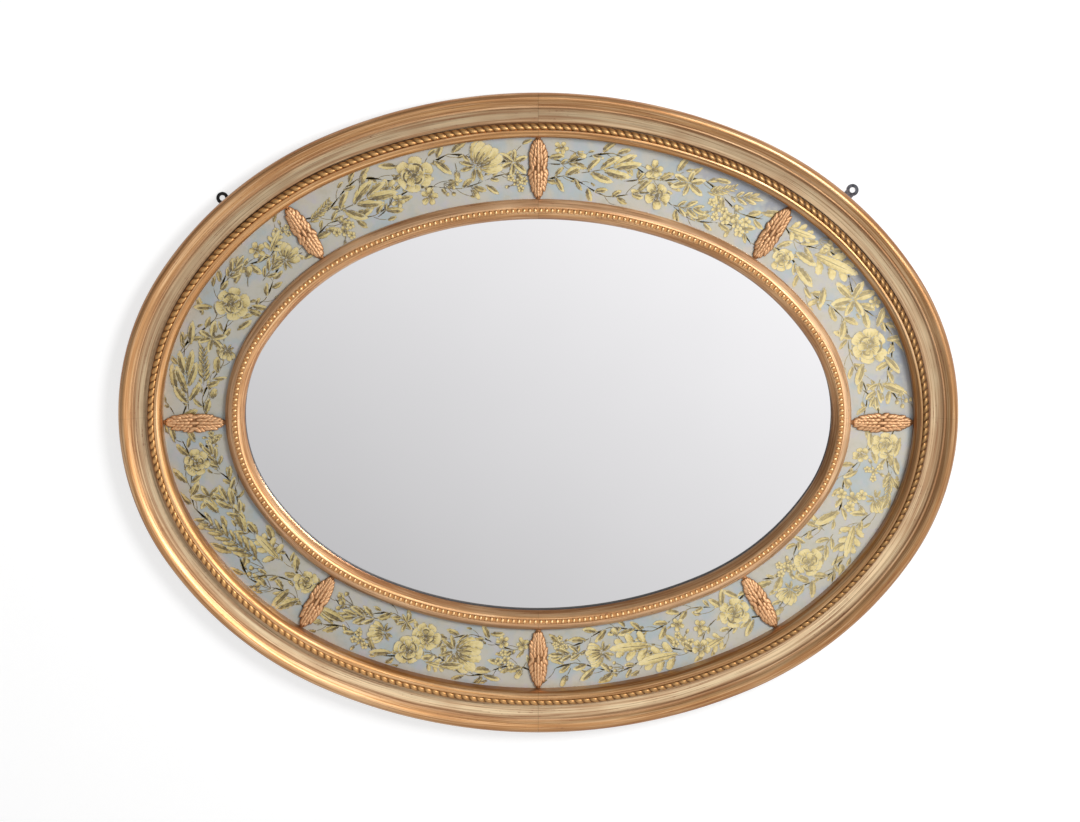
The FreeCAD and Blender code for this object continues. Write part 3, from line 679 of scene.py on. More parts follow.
def turnPearls(first):
    outer, inner, top = pearls["fillet"]
    seat = pearls["seat"]
    bm = sweepSection([(outer, seat), (outer, top), (inner, top), (inner, seat)], first, first + 90)
    for layer in list(bm.verts.layers.float.values()):
        bm.verts.layers.float.remove(layer)
    reliefLayer = bm.verts.layers.float.new("relief")
    for vert in bm.verts:
        vert[reliefLayer] = pearls["filletRelief"]
    begin, end = lengthTo(first, pearls["inset"]), lengthTo(first + 90, pearls["inset"])
    domes = bmesh.new()
    domeRelief = domes.verts.layers.float.new("relief")
    size = (pearls["across"] * mm, pearls["height"] * mm, pearls["along"] * mm, 1)
    for i in range(pearls["inQuarter"]):
        turn = turnAt(begin + (end - begin) * (i + 0.5) / pearls["inQuarter"], pearls["inset"])
        place = (Matrix.Translation(spot(turn, pearls["inset"], seat))
                 @ Matrix.Rotation(radians(-turn), 4, "Y")
                 @ Matrix.Diagonal(size) @ Matrix.Rotation(radians(90), 4, "X"))
        made = bmesh.ops.create_uvsphere(domes, u_segments=pearls["faces"][0], v_segments=pearls["faces"][1],
                                         radius=1, matrix=place)
        for vert in made["verts"]:
            vert[domeRelief] = max(0.0, (-vert.co.y / mm - seat) / pearls["height"]) ** pearls["roundness"]
    plane = (0, -(seat - pearls["sunk"]) * mm, 0)
    bmesh.ops.bisect_plane(domes, geom=list(domes.verts) + list(domes.edges) + list(domes.faces), dist=1e-7,
                           plane_co=plane, plane_no=(0, 1, 0), clear_outer=True)
    fillHoles(domes)
    bmesh.ops.recalc_face_normals(domes, faces=domes.faces)
    scratch = bpy.data.meshes.new("pearl_scratch")
    domes.to_mesh(scratch)
    domes.free()
    bm.from_mesh(scratch)
    bpy.data.meshes.remove(scratch)
    return bm


for name, first in quarters.items():
    makePiece(turnPearls(first), "pearls_" + name, [pearlGilt], ["pearl_strip_" + name],
              pearls["sharpAngle"])
print("pearls turned")

# The carved clasps: a spindle of overlapping leaves that run from its middle to both tips, drawn lying down
# with x outwards. Each row has an outer and an inner pair, given as the share of the row's reach at which they
# stand, the share of its spread that they turn by, how far they start back and the share of a leaf's width.
clasp = {
    "turns": {"top": 90.0, "upper_right": 55.9, "right": -1.8, "lower_right": -57.7, "bottom": -90.0,
              "lower_left": -122.3, "left": -178.2, "upper_left": 124.1},
    "level": {"right": 0.0, "left": 180.0},
    "inset": 105.75, "foot": 20.0, "halfLength": 43.3, "halfWidth": 11.8, "halfTip": 3.2, "height": 8.9,
    "side": 2.6, "dome": 3.8, "outlinePower": 2.2, "endFall": 0.5, "sideFall": 0.8,
    "bedFaces": (26, 8), "bedShare": 0.86, "bedSink": 0.6, "bedRelief": 0.3,
    "firstRow": 2.0, "rowPitch": 5.6, "rows": 7, "spread": 22, "spreadStep": 3.6,
    "pairs": ((1.0, 1.0, 2.6, 0.92), (0.5, 0.45, 0.6, 0.85)), "wideRows": 5, "wide": 0.7, "slim": 0.5,
    "leafLength": 12.5, "leafWidth": 7.2, "leafRise": 1.8, "leafFaces": (10, 6), "pastTip": 0.5,
    "rib": 2.2, "ribRise": (0.8, 0.35), "ribRelief": (0.75, 0.4), "tipRelief": 0.18, "tipFrom": 0.4,
    "tipLift": 0.6, "looseStart": (-1, 1), "looseTurn": (-7, 7), "looseLength": (0.92, 1.06),
    "looseRise": (0.9, 1.1), "ridgeBack": 3.4, "ridgeTurn": (-3, 3), "ridgeLonger": 1, "ridgeHigher": 1.2,
    "middle": ((-7.5, 8.6, 15, 7.0, 1.9), (-7.5, -8.6, 15, 7.0, 1.9), (-9, 0, 18, 6.6, 2.3)),
    "sharpAngle": 50,
}


def smooth(value, low, high):
    t = min(max((value - low) / (high - low), 0), 1)
    return t * t * (3 - 2 * t)


def claspHalfWidth(x):
    share = min(abs(x) / clasp["halfLength"], 1)
    return clasp["halfTip"] + (clasp["halfWidth"] - clasp["halfTip"]) * (1 - share ** clasp["outlinePower"])


def claspTop(x, y):
    swell = 1 - clasp["endFall"] * (x / clasp["halfLength"]) ** 2
    fall = clasp["sideFall"] * min(1.0, (y / claspHalfWidth(x)) ** 2)
    return clasp["side"] + clasp["dome"] * swell * (1 - fall)


# One leaf: a ball drawn out along x to a tip that lifts, with a rib along its middle
def addLeaf(bm, layer, x, y, heading, length, width, rise, taper=0.5, lift=1.1):
    faces = clasp["leafFaces"]
    made = bmesh.ops.create_uvsphere(bm, u_segments=faces[0], v_segments=faces[1], radius=1)["verts"]
    turn = Matrix.Rotation(radians(heading), 3, "Z")
    rises, reliefs = clasp["ribRise"], clasp["ribRelief"]
    for vert in made:
        along, side, up = vert.co
        rib = max(0.0, 1 - clasp["rib"] * abs(side))
        local = turn @ Vector((length * (along + 1) / 2, width / 2 * side * (1 - taper * along), 0))
        place = Vector((x + local.x, y + local.y))
        level = claspTop(place.x, place.y) + lift * (along + clasp["tipFrom"]) * clasp["tipLift"]
        vert.co = (place.x, place.y, level + rise * up * (rises[0] + rises[1] * rib))
        vert[layer] = smooth(up * (reliefs[0] + reliefs[1] * rib) + clasp["tipRelief"] * along, 0.0, 1.0)


def carveClasp(seed):
    dice = random.Random(seed)
    bm = bmesh.new()
    layer = bm.verts.layers.float.new("relief")
    bmesh.ops.create_grid(bm, x_segments=clasp["bedFaces"][0], y_segments=clasp["bedFaces"][1], size=1)
    for vert in bm.verts:
        x = clasp["halfLength"] * sin(vert.co.x * pi / 2)
        y = claspHalfWidth(x) * clasp["bedShare"] * vert.co.y
        vert.co = (x, y, claspTop(x, y) - clasp["bedSink"])
        vert[layer] = clasp["bedRelief"]
    # The bed's sides run down to the glass with no relief, so they take the darkest cut colour: painted shade
    # along the clasp's foot
    for vert in bmesh.ops.extrude_edge_only(bm, edges=openEdges(bm))["geom"]:
        if isinstance(vert, bmesh.types.BMVert):
            vert.co.z = 0
            vert[layer] = 0.0
    fillHoles(bm)
    for way in (1, -1):
        ahead = 0 if way > 0 else 180
        for row in reversed(range(clasp["rows"])):
            x, inWide = clasp["firstRow"] + clasp["rowPitch"] * row, row < clasp["wideRows"]
            length = min(clasp["leafLength"], clasp["halfLength"] + clasp["pastTip"] - x)
            reach, spread = clasp["wide" if inWide else "slim"], clasp["spread"] - clasp["spreadStep"] * row
            for share, turned, back, width in clasp["pairs"][:2 if inWide else 1]:
                for side in (1, -1):
                    addLeaf(bm, layer, way * (x - back + dice.uniform(*clasp["looseStart"])),
                            side * (reach * share) * claspHalfWidth(x),
                            ahead + side * way * (spread * turned + dice.uniform(*clasp["looseTurn"])),
                            length * dice.uniform(*clasp["looseLength"]), clasp["leafWidth"] * width,
                            clasp["leafRise"] * dice.uniform(*clasp["looseRise"]))
            if row:
                addLeaf(bm, layer, way * (x - clasp["ridgeBack"]), 0,
                        ahead + dice.uniform(*clasp["ridgeTurn"]), length + clasp["ridgeLonger"],
                        clasp["leafWidth"], clasp["leafRise"] * clasp["ridgeHigher"])
    for x, y, length, width, rise in clasp["middle"]:
        addLeaf(bm, layer, x, y, 0, length, width, rise, taper=0, lift=0.2)
    for vert in bm.verts:
        vert.co.z = min(max(vert.co.z, 0), clasp["height"])
        vert.co.x = min(max(vert.co.x, -clasp["halfLength"]), clasp["halfLength"])
    return bm


def setClasp(bm, turn, facing):
    foot = spot(turn % 360, clasp["inset"], clasp["foot"])
    stand = Matrix.Rotation(radians(90), 4, "X")  # height towards the front, x outwards
    place = Matrix.Translation(foot) @ Matrix.Rotation(radians(-facing), 4, "Y") @ stand
    bmesh.ops.transform(bm, matrix=place @ Matrix.Scale(mm, 4), verts=bm.verts)


for number, (name, turn) in enumerate(clasp["turns"].items()):
    bm = carveClasp(number + 3)
    setClasp(bm, turn, clasp["level"].get(name, turn))
    makePiece(bm, "leaf_clasp_" + name, [claspGilt], ["clasp_" + name], clasp["sharpAngle"])
print("clasps carved")

# The painted border. Flowers and leaves are flat strokes of the brush, in millimetres along a panel, clockwise
# from its first clasp, and across it, outwards from its middle line. A heading of 0 runs along, 90 outwards.
# In a motif, lengths and widths are shares of its size, and headings and bends are degrees. A stroke's tones
# are those of its foot and its tip, and how much is lost on its shaded side.
painting = {"inset": 105.75, "glass": 20.0, "thickness": 0.5, "layer": 0.003, "first": 0.04, "leafLift": 0.03,
            "motifLift": 0.25, "outline": 0.45, "sight": 42.8, "margin": 0.3, "rib": 1.0, "scale": 1.14,
            "umber": (0.0, 0.3, 0), "heart": (0, 0.1, 0), "middle": 0.1, "marksApart": (10, 90),
            "motifFrom": 1.4, "motifLevels": 4, "sharpAngle": 30}
vine = {"starts": ((-40, 22), (36, -22)), "waves": 5, "leaves": 6, "levels": 9, "turn": 48, "reach": (14, 28),
        "stalk": 0.9, "stalkTurn": 40, "shorter": 0.6}


class Panel:
    def __init__(self, start, end, seed):
        self.bm = bmesh.new()
        self.layers = [self.bm.verts.layers.float.new(name) for name in ("tone", "edge", "along", "across")]
        self.start, self.length = start, start - end  # lengths round the oval, counted anticlockwise
        self.dice = random.Random(seed)
        self.between = self.dice.uniform
        self.lift, self.leaves = painting["glass"], 0

    # A point that is x along and y beside a path that leaves at under heading and turns by bend in a unit
    def point(self, at, heading, x, y=0.0, bend=0.0):
        turned, base = bend * x, radians(heading)
        if abs(bend) > 1e-6:
            ahead, beside = sin(turned) / bend, (1 - cos(turned)) / bend
        else:
            ahead, beside = x, 0
        ahead, beside = ahead - y * sin(turned), beside + y * cos(turned)
        return (at[0] + ahead * cos(base) - beside * sin(base),
                at[1] + ahead * sin(base) + beside * cos(base))

    # One stroke: a fan of triangles round a pale middle
    def stroke(self, at, heading, length, width, tones, bend=0.0, skew=1.0, sharp=1.0, steps=12):
        self.lift += painting["layer"]
        foot, tip, loss = tones
        shaded = self.dice.choice((-1, 1))
        curve = radians(bend) / length
        made = bmesh.ops.create_circle(self.bm, cap_ends=True, cap_tris=True, segments=steps, radius=1)
        for vert in made["verts"]:
            rim = vert.co.length > 0.5
            angle = atan2(vert.co.y, vert.co.x) if rim else pi / 2
            share = ((1 - cos(angle)) / 2) ** skew
            side = copysign(abs(sin(angle)) ** sharp, sin(angle)) if rim else 0
            change = -loss * max(0, shaded * side) if rim else painting["middle"]
            tone = foot + (tip - foot) * share + change
            far, out = length * share, width / 2 * side
            marks = [start + apart * self.lift for start, apart in zip((far, out), painting["marksApart"])]
            for layer, value in zip(self.layers, [tone, 0 if rim else 1, *marks]):
                vert[layer] = value
            along, across = self.point(at, heading, far, out, curve)
            along = min(max(along, painting["margin"]), self.length - painting["margin"])
            across = min(max(across, -painting["sight"]), painting["sight"])
            turn = turnAt(self.start - along, painting["inset"])
            vert.co = spot(turn, painting["inset"] - across, self.lift)

    def outlined(self, at, heading, length, width, tones, *shape, **more):
        edge = painting["outline"]
        self.stroke(self.point(at, heading, -edge), heading, length + 2 * edge, width + 2 * edge,
                    painting["umber"], *shape, **more)
        self.stroke(at, heading, length, width, tones, *shape, **more)

    def line(self, at, heading, length, width=1.0, bend=0.0, tone=0.08):
        self.stroke(at, heading, length, width, (tone, tone + 0.1, 0), bend, 1.0, 0.45)

    # Places beside a stem, each a share of its length, the turn away from it and the share that it reaches
    def beside(self, at, heading, size, bend, places, loose=0):
        for share, turned, reach in places:
            foot = self.point(at, heading, size * share, 0, radians(bend) / size)
            way = heading + bend * share + turned
            yield foot, way + self.between(-loose, loose) if loose else way, turned, size * reach

    # Places evenly round a point
    def around(self, at, heading, count, far=0.0):
        for i in range(count):
            way = heading + 360 * i / count
            yield self.point(at, way, far), way

    def heart(self, at, size, tones=painting["heart"]):
        self.stroke(self.point(at, 0, -size / 2), 0, size, size, tones, steps=8)

    # A pointed leaf, darker on one side of its rib, with a tooth or two at its edge
    def leaf(self, at, heading, size, bend=0.0, slim=0.32, pale=0.85):
        side = self.dice.choice((-1, 1))
        teeth = ((0.3, 24, 0.34), (0.42, -24, 0.34))
        for foot, way, turned, reach in self.beside(at, heading, size, bend, teeth):
            self.outlined(foot, way, reach, size * 0.1, (0.3, pale, 0.2), copysign(10, -turned), steps=6)
        self.outlined(at, heading, size, size * slim, (0.4, pale, 0.25), bend, 0.95, 1.35)
        self.stroke(self.point(at, heading, size * 0.06, side * size * slim * 0.18), heading, size * 0.8,
                    size * slim * 0.42, painting["umber"], bend * 0.9, 0.95, 1.3, 8)
        self.stroke(at, heading, size * 0.86, painting["rib"], (0, 0.2, 0), bend * 0.86, steps=8)

    def petal(self, at, heading, length, width, pale=0.95, bend=0.0):
        length, width = length * self.between(0.86, 1.1), width * self.between(0.8, 1.1)
        self.outlined(at, heading + self.between(-7, 7), length, width, (0.2, pale, 0.32), bend, 0.62, 0.8)
        for side in (-1, 0, 1):
            self.stroke(self.point(at, heading, length * 0.12, side * width * 0.14), heading + side * 9,
                        length * self.between(0.35, 0.65), 0.55 + width * 0.02, painting["umber"], bend * 0.5,
                        steps=6)

    # A leaf cut into lobes, large and pale
    def cutLeaf(self, at, heading, size, bend=15.0):
        lobes = ((0.1, 52, 0.42), (0.14, -56, 0.4), (0.34, 44, 0.42), (0.38, -46, 0.38), (0.58, 34, 0.34),
                 (0.6, -36, 0.32))
        for foot, way, turned, reach in self.beside(at, heading, size, bend, lobes, 6):
            self.outlined(foot, way, reach, size * 0.17, (0.25, 0.95, 0.4), turned * 0.4, 0.8, 1.0, 8)
        self.outlined(at, heading, size, size * 0.22, (0.4, 1.0, 0.4), bend, 0.9, 1.1)
        self.stroke(at, heading, size * 0.8, painting["rib"] * 1.3, (0, 0.25, 0), bend * 0.8, steps=8)

    # A full rose: two rounds of petals about a coiled dark heart
    def rose(self, at, heading, size):
        for count, foot, reach, width, pale in ((6, 0.12, 0.4, 0.42, 1.0), (5, 0.03, 0.3, 0.32, 0.85)):
            for i in range(count):
                way = heading + 360 * i / count + 40 * foot + self.between(-8, 8)
                self.petal(self.point(at, way, size * foot), way, size * reach, size * width, pale)
        for turned, far, reach in ((0, 0.26, 0.42), (130, 0.24, 0.36), (245, 0.2, 0.3), (60, 0.12, 0.24)):
            start = self.point(at, heading + turned, size * far)
            self.line(start, heading + turned + 62, size * reach, size * 0.055, 120, 0.0)
        self.stroke(self.point(at, heading, -size * 0.07), heading, size * 0.15, size * 0.12,
                    painting["heart"], steps=8)

    # A half-open flower that faces along heading
    def peony(self, at, heading, size):
        for turned in (150, -150, 118, -112):
            way = heading + turned
            self.leaf(self.point(at, way, size * 0.05), way, size * 0.34, 0, 0.3, 0.6)
        for turned in (-70, 66, -44, 40, -18, 16):
            self.petal(at, heading + turned, size * 0.62, size * 0.26, 1.0, -turned * 0.7)
        for turned in (-50, -20, 14, 46):
            way = heading + turned
            self.line(self.point(at, way, size * 0.08), way, size * 0.3, size * 0.04, -turned)

    # An open flower of round petals with a dark heart
    def daisy(self, at, heading, size):
        for foot, way in self.around(at, heading, 5, size * 0.08):
            self.petal(foot, way, size * 0.42, size * 0.4)
        for foot, way in self.around(at, heading, 3, size * 0.16):
            self.line(foot, way + 60, size * 0.3, size * 0.07, 118, 0.0)
        self.heart(at, size * 0.18)

    def flower(self, at, heading, size):
        for foot, way in self.around(at, heading, 5):
            self.petal(foot, way, size * 0.5, size * 0.32, 0.9)
        self.heart(at, size * 0.2, (0.0, 0.2, 0))

    # Pointed leaves round one point
    def star(self, at, heading, size):
        for foot, way in self.around(at, heading, 6):
            reach = size * self.between(0.42, 0.58)
            self.leaf(foot, way + self.between(-10, 10), reach, self.between(-20, 20), 0.36, 0.9)

    def bud(self, at, heading, size):
        self.line(self.point(at, heading, -size * 0.7), heading + 10, size * 0.8, 1.0, -20)
        for side in (-1, 1):
            self.outlined(at, heading + side * 26, size * 0.75, size * 0.28, (0.1, 0.5, 0.2), -side * 34,
                          steps=8)
        self.petal(at, heading, size, size * 0.46, 0.9)
        self.line(at, heading, size * 0.6, 1.0, 10)

    # A short stem with large leaves from both its sides and its end
    def sprig(self, at, heading, size, bend=18.0):
        self.line(at, heading, size * 0.6, 1.5, bend * 0.6, 0.0)
        leaves = ((0.12, 56, 0.36), (0.16, -50, 0.4), (0.34, 42, 0.44), (0.38, -36, 0.46), (0.56, 24, 0.42),
                  (0.56, -14, 0.46))
        for foot, way, turned, reach in self.beside(at, heading, size, bend, leaves, 7):
            self.leaf(foot, way, reach * self.between(0.88, 1.1), -turned * 0.6, 0.3)

    # A thin stem with narrow leaves in pairs
    def feather(self, at, heading, size, bend=20.0):
        curve = radians(bend) / size
        self.line(at, heading, size, 1.1, bend)
        for i in range(7):
            share = 0.12 + 0.125 * i
            for side in (-1, 1):
                foot = self.point(at, heading, size * (share + 0.03 * side), 0, curve)
                reach = (0.3 - 0.02 * i) * size * self.between(0.8, 1.15)
                self.outlined(foot, heading + bend * share + side * 42, reach, reach * 0.24, (0.15, 0.75, 0.4),
                              -side * 24, 0.9, 1.2, 8)

    # Small flowers and buds in a bunch
    def posy(self, at, heading, size):
        for i in range(5):
            way = heading + 72 * i + self.between(-16, 16)
            head = self.point(at, way, size * self.between(0.26, 0.38))
            self.line(at, way, size * 0.3, 0.9, 20)
            if i % 2:
                self.bud(head, way, size * 0.26)
            else:
                for foot, out in self.around(head, way, 5):
                    self.outlined(foot, out, size * 0.17, size * 0.13, (0.2, 0.95, 0.2), 0, 0.7, 0.8, 8)
                self.heart(head, size * 0.08)
        self.flower(at, heading, size * 0.4)

    def berries(self, at, heading, size):
        for turned, share in ((-48, 0.8), (-12, 1.0), (20, 0.72), (52, 0.9)):
            reach = size * share
            self.line(at, heading + turned, reach, 0.9, -turned * 0.6)
            end = self.point(at, heading + turned, reach, 0, radians(-turned * 0.6) / reach)
            self.outlined(self.point(end, heading, -size * 0.13), heading, size * 0.28, size * 0.28,
                          (0.1, 0.85, 0.4), steps=8)

    # A curled stem with two small leaves
    def tendril(self, at, heading, size, bend=60.0):
        self.line(at, heading, size, 1.2, bend)
        leaves = ((0.35, 44, 0.26), (0.6, -44, 0.26))
        for foot, way, turned, reach in self.beside(at, heading, size, bend, leaves):
            self.leaf(foot, way, reach, copysign(20, -turned), 0.34, 0.7)

    # The stem that winds through a panel behind its flowers, with small leaves to both sides
    def vine(self, heading, across):
        step = self.length / vine["waves"]
        at = (4.0, across + self.between(-4, 4))
        for wave in range(vine["waves"]):
            bend = -2 * heading + self.between(-6, 6)
            self.line(at, heading, step, 1.2, bend, 0.1)
            curve = radians(bend) / step
            for i in range(vine["leaves"]):
                share = (i + self.between(0.1, 0.9)) / vine["leaves"]
                side = 1 if i % 2 else -1
                self.leaves += 1
                level = self.leaves % vine["levels"]
                self.lift = painting["glass"] + painting["first"] + painting["leafLift"] * level
                foot = self.point(at, heading, step * share, 0, curve)
                way, reach = heading + bend * share + side * vine["turn"], self.between(*vine["reach"])
                if i % 3 == 2:
                    stalk, turned = reach * vine["stalk"], -side * vine["stalkTurn"]
                    self.line(foot, way, stalk, 0.9, turned)
                    foot = self.point(foot, way, stalk, 0, radians(turned) / reach)
                    way, reach = way + turned, reach * vine["shorter"]
                self.leaf(foot, way, reach, -side * 26, self.between(0.3, 0.42), self.between(0.55, 0.9))
            at, heading = self.point(at, heading, step, 0, curve), heading + bend


# Where each motif stands: hundredths of the panel's length, how far outwards, its heading and its size
sprays = {
    "top_right": [
        ("flower", 9, 28, 0, 17), ("bud", 15, 22, -20, 14), ("tendril", 4, 6, -14, 42),
        ("leaf", 7, -12, -58, 22), ("sprig", 17, -5, 12, 74), ("tendril", 35, -8, 4, 50),
        ("flower", 46, 17, 20, 23), ("daisy", 50, -17, 0, 33), ("bud", 43, -18, 190, 12),
        ("star", 61, 12, 30, 40), ("leaf", 55, 22, 70, 24), ("sprig", 58, -24, 4, 42),
        ("feather", 68, 8, 22, 40), ("posy", 75, -8, 0, 30), ("posy", 85, -14, 40, 40),
        ("sprig", 79, 16, 20, 36), ("leaf", 92, 14, 30, 30), ("leaf", 70, 30, 10, 20),
    ],
    "right_upper": [
        ("cutLeaf", 4, 18, 12, 36), ("rose", 11, -22, 0, 30), ("leaf", 17, -16, -8, 36),
        ("leaf", 13, -2, 8, 32), ("cutLeaf", 19, 12, 16, 60), ("berries", 17, 32, 20, 18),
        ("bud", 36, -26, -110, 15), ("leaf", 33, -8, -50, 28), ("star", 45, 12, 10, 52),
        ("flower", 51, 35, 0, 15), ("leaf", 50, -14, -36, 28), ("rose", 66, 0, 30, 46),
        ("leaf", 60, -18, 215, 28), ("leaf", 60, 20, 130, 26), ("leaf", 72, -16, -28, 32),
        ("leaf", 72, 15, 30, 28), ("leaf", 66, 24, 80, 22), ("sprig", 81, 2, -30, 40), ("leaf", 83, 2, 62, 34),
        ("berries", 87, 28, 10, 18), ("tendril", 98, -4, 176, 46), ("leaf", 27, -30, -10, 18),
    ],
    "right_lower": [
        ("rose", 10, 8, 0, 32), ("leaf", 4, -16, 8, 24), ("leaf", 6, 28, -8, 24), ("leaf", 14, 24, 30, 22),
        ("daisy", 16, -22, 0, 20), ("posy", 22, 2, 0, 26), ("feather", 20, 26, 4, 36),
        ("leaf", 24, -20, -40, 22), ("peony", 33, 20, 60, 30), ("posy", 37, -10, 0, 42),
        ("leaf", 45, -16, -24, 38), ("cutLeaf", 46, 12, 16, 44), ("bud", 56, -28, -100, 15),
        ("sprig", 55, -4, 4, 50), ("tendril", 60, 20, 10, 44), ("rose", 72, -2, 0, 36),
        ("leaf", 67, -24, -80, 18), ("leaf", 76, 20, 50, 24), ("posy", 81, -16, 0, 30),
        ("peony", 86, 12, 20, 30), ("leaf", 90, -14, -16, 28), ("bud", 93, 26, 10, 14),
        ("leaf", 30, 34, 0, 18),
    ],
    "bottom_right": [
        ("rose", 12, -2, 0, 38), ("leaf", 7, -20, -50, 24), ("leaf", 16, -20, -120, 24),
        ("leaf", 6, 18, 40, 24), ("cutLeaf", 20, 24, 4, 34), ("tendril", 20, -6, 10, 40),
        ("flower", 28, -4, 0, 20), ("flower", 37, -18, 0, 18), ("posy", 37, 6, 0, 28),
        ("daisy", 31, 26, 0, 22), ("cutLeaf", 40, 24, -8, 54), ("cutLeaf", 50, 2, -14, 56),
        ("berries", 64, 24, 0, 16), ("bud", 64, -22, -60, 15), ("peony", 72, -2, 10, 38),
        ("leaf", 76, 18, 40, 26), ("sprig", 80, -4, -5, 46), ("posy", 90, -20, 0, 22), ("bud", 88, 26, 60, 15),
        ("leaf", 56, -28, 10, 24),
    ],
    "bottom_left": [
        ("flower", 7, -20, 0, 18), ("flower", 16, -22, 0, 18), ("bud", 7, 16, 60, 16), ("posy", 14, 4, 0, 28),
        ("peony", 36, 0, 178, 56), ("leaf", 42, 26, 190, 32), ("rose", 50, -12, 0, 36),
        ("rose", 56, 14, 60, 38), ("cutLeaf", 48, 24, 170, 30), ("star", 60, -24, 20, 28),
        ("leaf", 62, 24, 20, 28), ("peony", 68, 0, 20, 32), ("sprig", 72, -16, 8, 50), ("posy", 76, 24, 0, 28),
        ("leaf", 85, 6, 0, 38), ("berries", 85, -20, 0, 22), ("bud", 93, 24, 10, 16),
        ("leaf", 23, 30, 170, 22), ("leaf", 22, -32, 185, 20),
    ],
    "left_lower": [
        ("rose", 9, -14, 0, 30), ("leaf", 7, 10, 60, 36), ("leaf", 13, 8, 84, 32), ("tendril", 14, -4, 8, 54),
        ("berries", 19, 24, 10, 22), ("berries", 27, 8, 30, 22), ("cutLeaf", 25, -16, -8, 46),
        ("feather", 30, 4, 6, 86), ("leaf", 41, 24, 36, 32), ("leaf", 44, -8, -14, 42),
        ("sprig", 50, -18, 4, 56), ("bud", 55, 28, 50, 15), ("star", 66, 8, 0, 42), ("leaf", 65, -24, -40, 20),
        ("leaf", 70, -30, -20, 20), ("rose", 82, 6, 0, 32), ("leaf", 75, 28, 30, 24),
        ("sprig", 76, -22, 4, 40), ("leaf", 91, 2, 20, 24), ("leaf", 92, 30, 10, 22), ("posy", 92, -22, 0, 22),
        ("leaf", 58, 6, 20, 26),
    ],
    "left_upper": [
        ("sprig", 5, 8, 4, 74), ("tendril", 3, 28, 20, 30), ("bud", 11, -22, -20, 18),
        ("feather", 17, -10, 6, 50), ("leaf", 13, 28, 20, 30), ("star", 38, -2, 10, 42),
        ("peony", 36, -28, -160, 24), ("leaf", 32, 22, 20, 28), ("tendril", 26, 26, 0, 34),
        ("leaf", 45, 24, 50, 24), ("rose", 56, -2, 20, 40), ("leaf", 50, 18, 120, 24),
        ("leaf", 60, -24, -60, 24), ("leaf", 63, 12, 24, 26), ("sprig", 62, 24, 2, 36), ("bud", 69, 4, 40, 16),
        ("sprig", 72, -14, 6, 44), ("flower", 80, 22, 0, 22), ("peony", 86, -14, 20, 34),
        ("cutLeaf", 83, 8, 20, 30), ("posy", 93, 20, 0, 22), ("leaf", 93, -30, 0, 22),
        ("leaf", 47, -28, -20, 24),
    ],
    "top_left": [
        ("feather", 3, 8, 6, 40), ("sprig", 14, 2, -4, 80), ("posy", 15, -27, 20, 32), ("bud", 29, 24, 50, 14),
        ("flower", 38, 6, 20, 25), ("flower", 41, -16, 50, 18), ("rose", 50, 12, 10, 44),
        ("leaf", 59, 26, -50, 28), ("flower", 54, -22, 0, 23), ("berries", 61, -8, -50, 18),
        ("bud", 67, 6, -90, 14), ("peony", 75, 8, 40, 52), ("bud", 72, -22, -60, 16),
        ("leaf", 78, -20, -40, 20), ("star", 90, 8, 20, 40), ("posy", 91, -20, 0, 26),
        ("tendril", 30, -28, 6, 40), ("leaf", 45, 30, 160, 24), ("leaf", 8, -12, -30, 22),
    ],
}
claspOrder = [clasp["turns"][name] % 360 for name in
              ("top", "upper_right", "right", "lower_right", "bottom", "lower_left", "left", "upper_left")]


def paintPanel(number, motifs):
    first, last = claspOrder[number], claspOrder[(number + 1) % 8]
    if last > first:
        last -= 360
    inset = painting["inset"]
    panel = Panel(lengthTo(first, inset), lengthTo(last, inset), number + 7)
    for heading, across in vine["starts"]:
        panel.vine(heading, across)
    for place, (kind, share, across, heading, size) in enumerate(motifs):
        level = painting["motifFrom"] + place % painting["motifLevels"]
        panel.lift = painting["glass"] + painting["motifLift"] * level
        getattr(panel, kind)((share / 100 * panel.length, across), heading, size * painting["scale"])
    bm = panel.bm
    bmesh.ops.recalc_face_normals(bm, faces=bm.faces)
    for face in bm.faces:
        if face.normal.y > 0:
            face.normal_flip()
    bmesh.ops.solidify(bm, geom=list(bm.faces), thickness=painting["thickness"] * mm)
    return bm


spraysPaint = paintedSprays()
for number, (name, motifs) in enumerate(sprays.items()):
    makePiece(paintPanel(number, motifs), "painted_sprays_" + name, [spraysPaint], (),
              painting["sharpAngle"])
print("border painted")


# Stage: a wall with the mirror's own oval left open, seen only from its front, and a floor well below. Camera
# and gloss see both with a glow added. The floor fades from what gloss sees towards its front, so that no hard
# edge shows in the mirror.
stage = {"wallHalf": 2.4, "floorHalf": 3.4, "floorHeight": -0.72, "gap": 0.0006, "holeInset": 6.0,
         "floorFront": 1.64, "fadeFrom": 1.2, "colour": "#B4B4B4", "glow": 0.68}


def stageMaterial(name, oneSided):
    material, add = newMaterial(name)
    ray = add("ray")
    seen = add("MAXIMUM", ray["Is Camera Ray"], ray["Is Glossy Ray"])
    seen = add("MAXIMUM", seen, ray["Is Transmission Ray"])
    shader = add("both", add("matt", stage["colour"]), add("glow", add("MULTIPLY", seen, stage["glow"])))
    if oneSided:
        hidden = add("behind")
    else:
        fade = add("fit", add("split", add("place"))["Y"], -stage["fadeFrom"], -stage["floorFront"], 0, 1)
        hidden = add("MULTIPLY", fade, ray["Is Glossy Ray"])
    add("surface", add("either", hidden, shader, add("clear")))
    return material


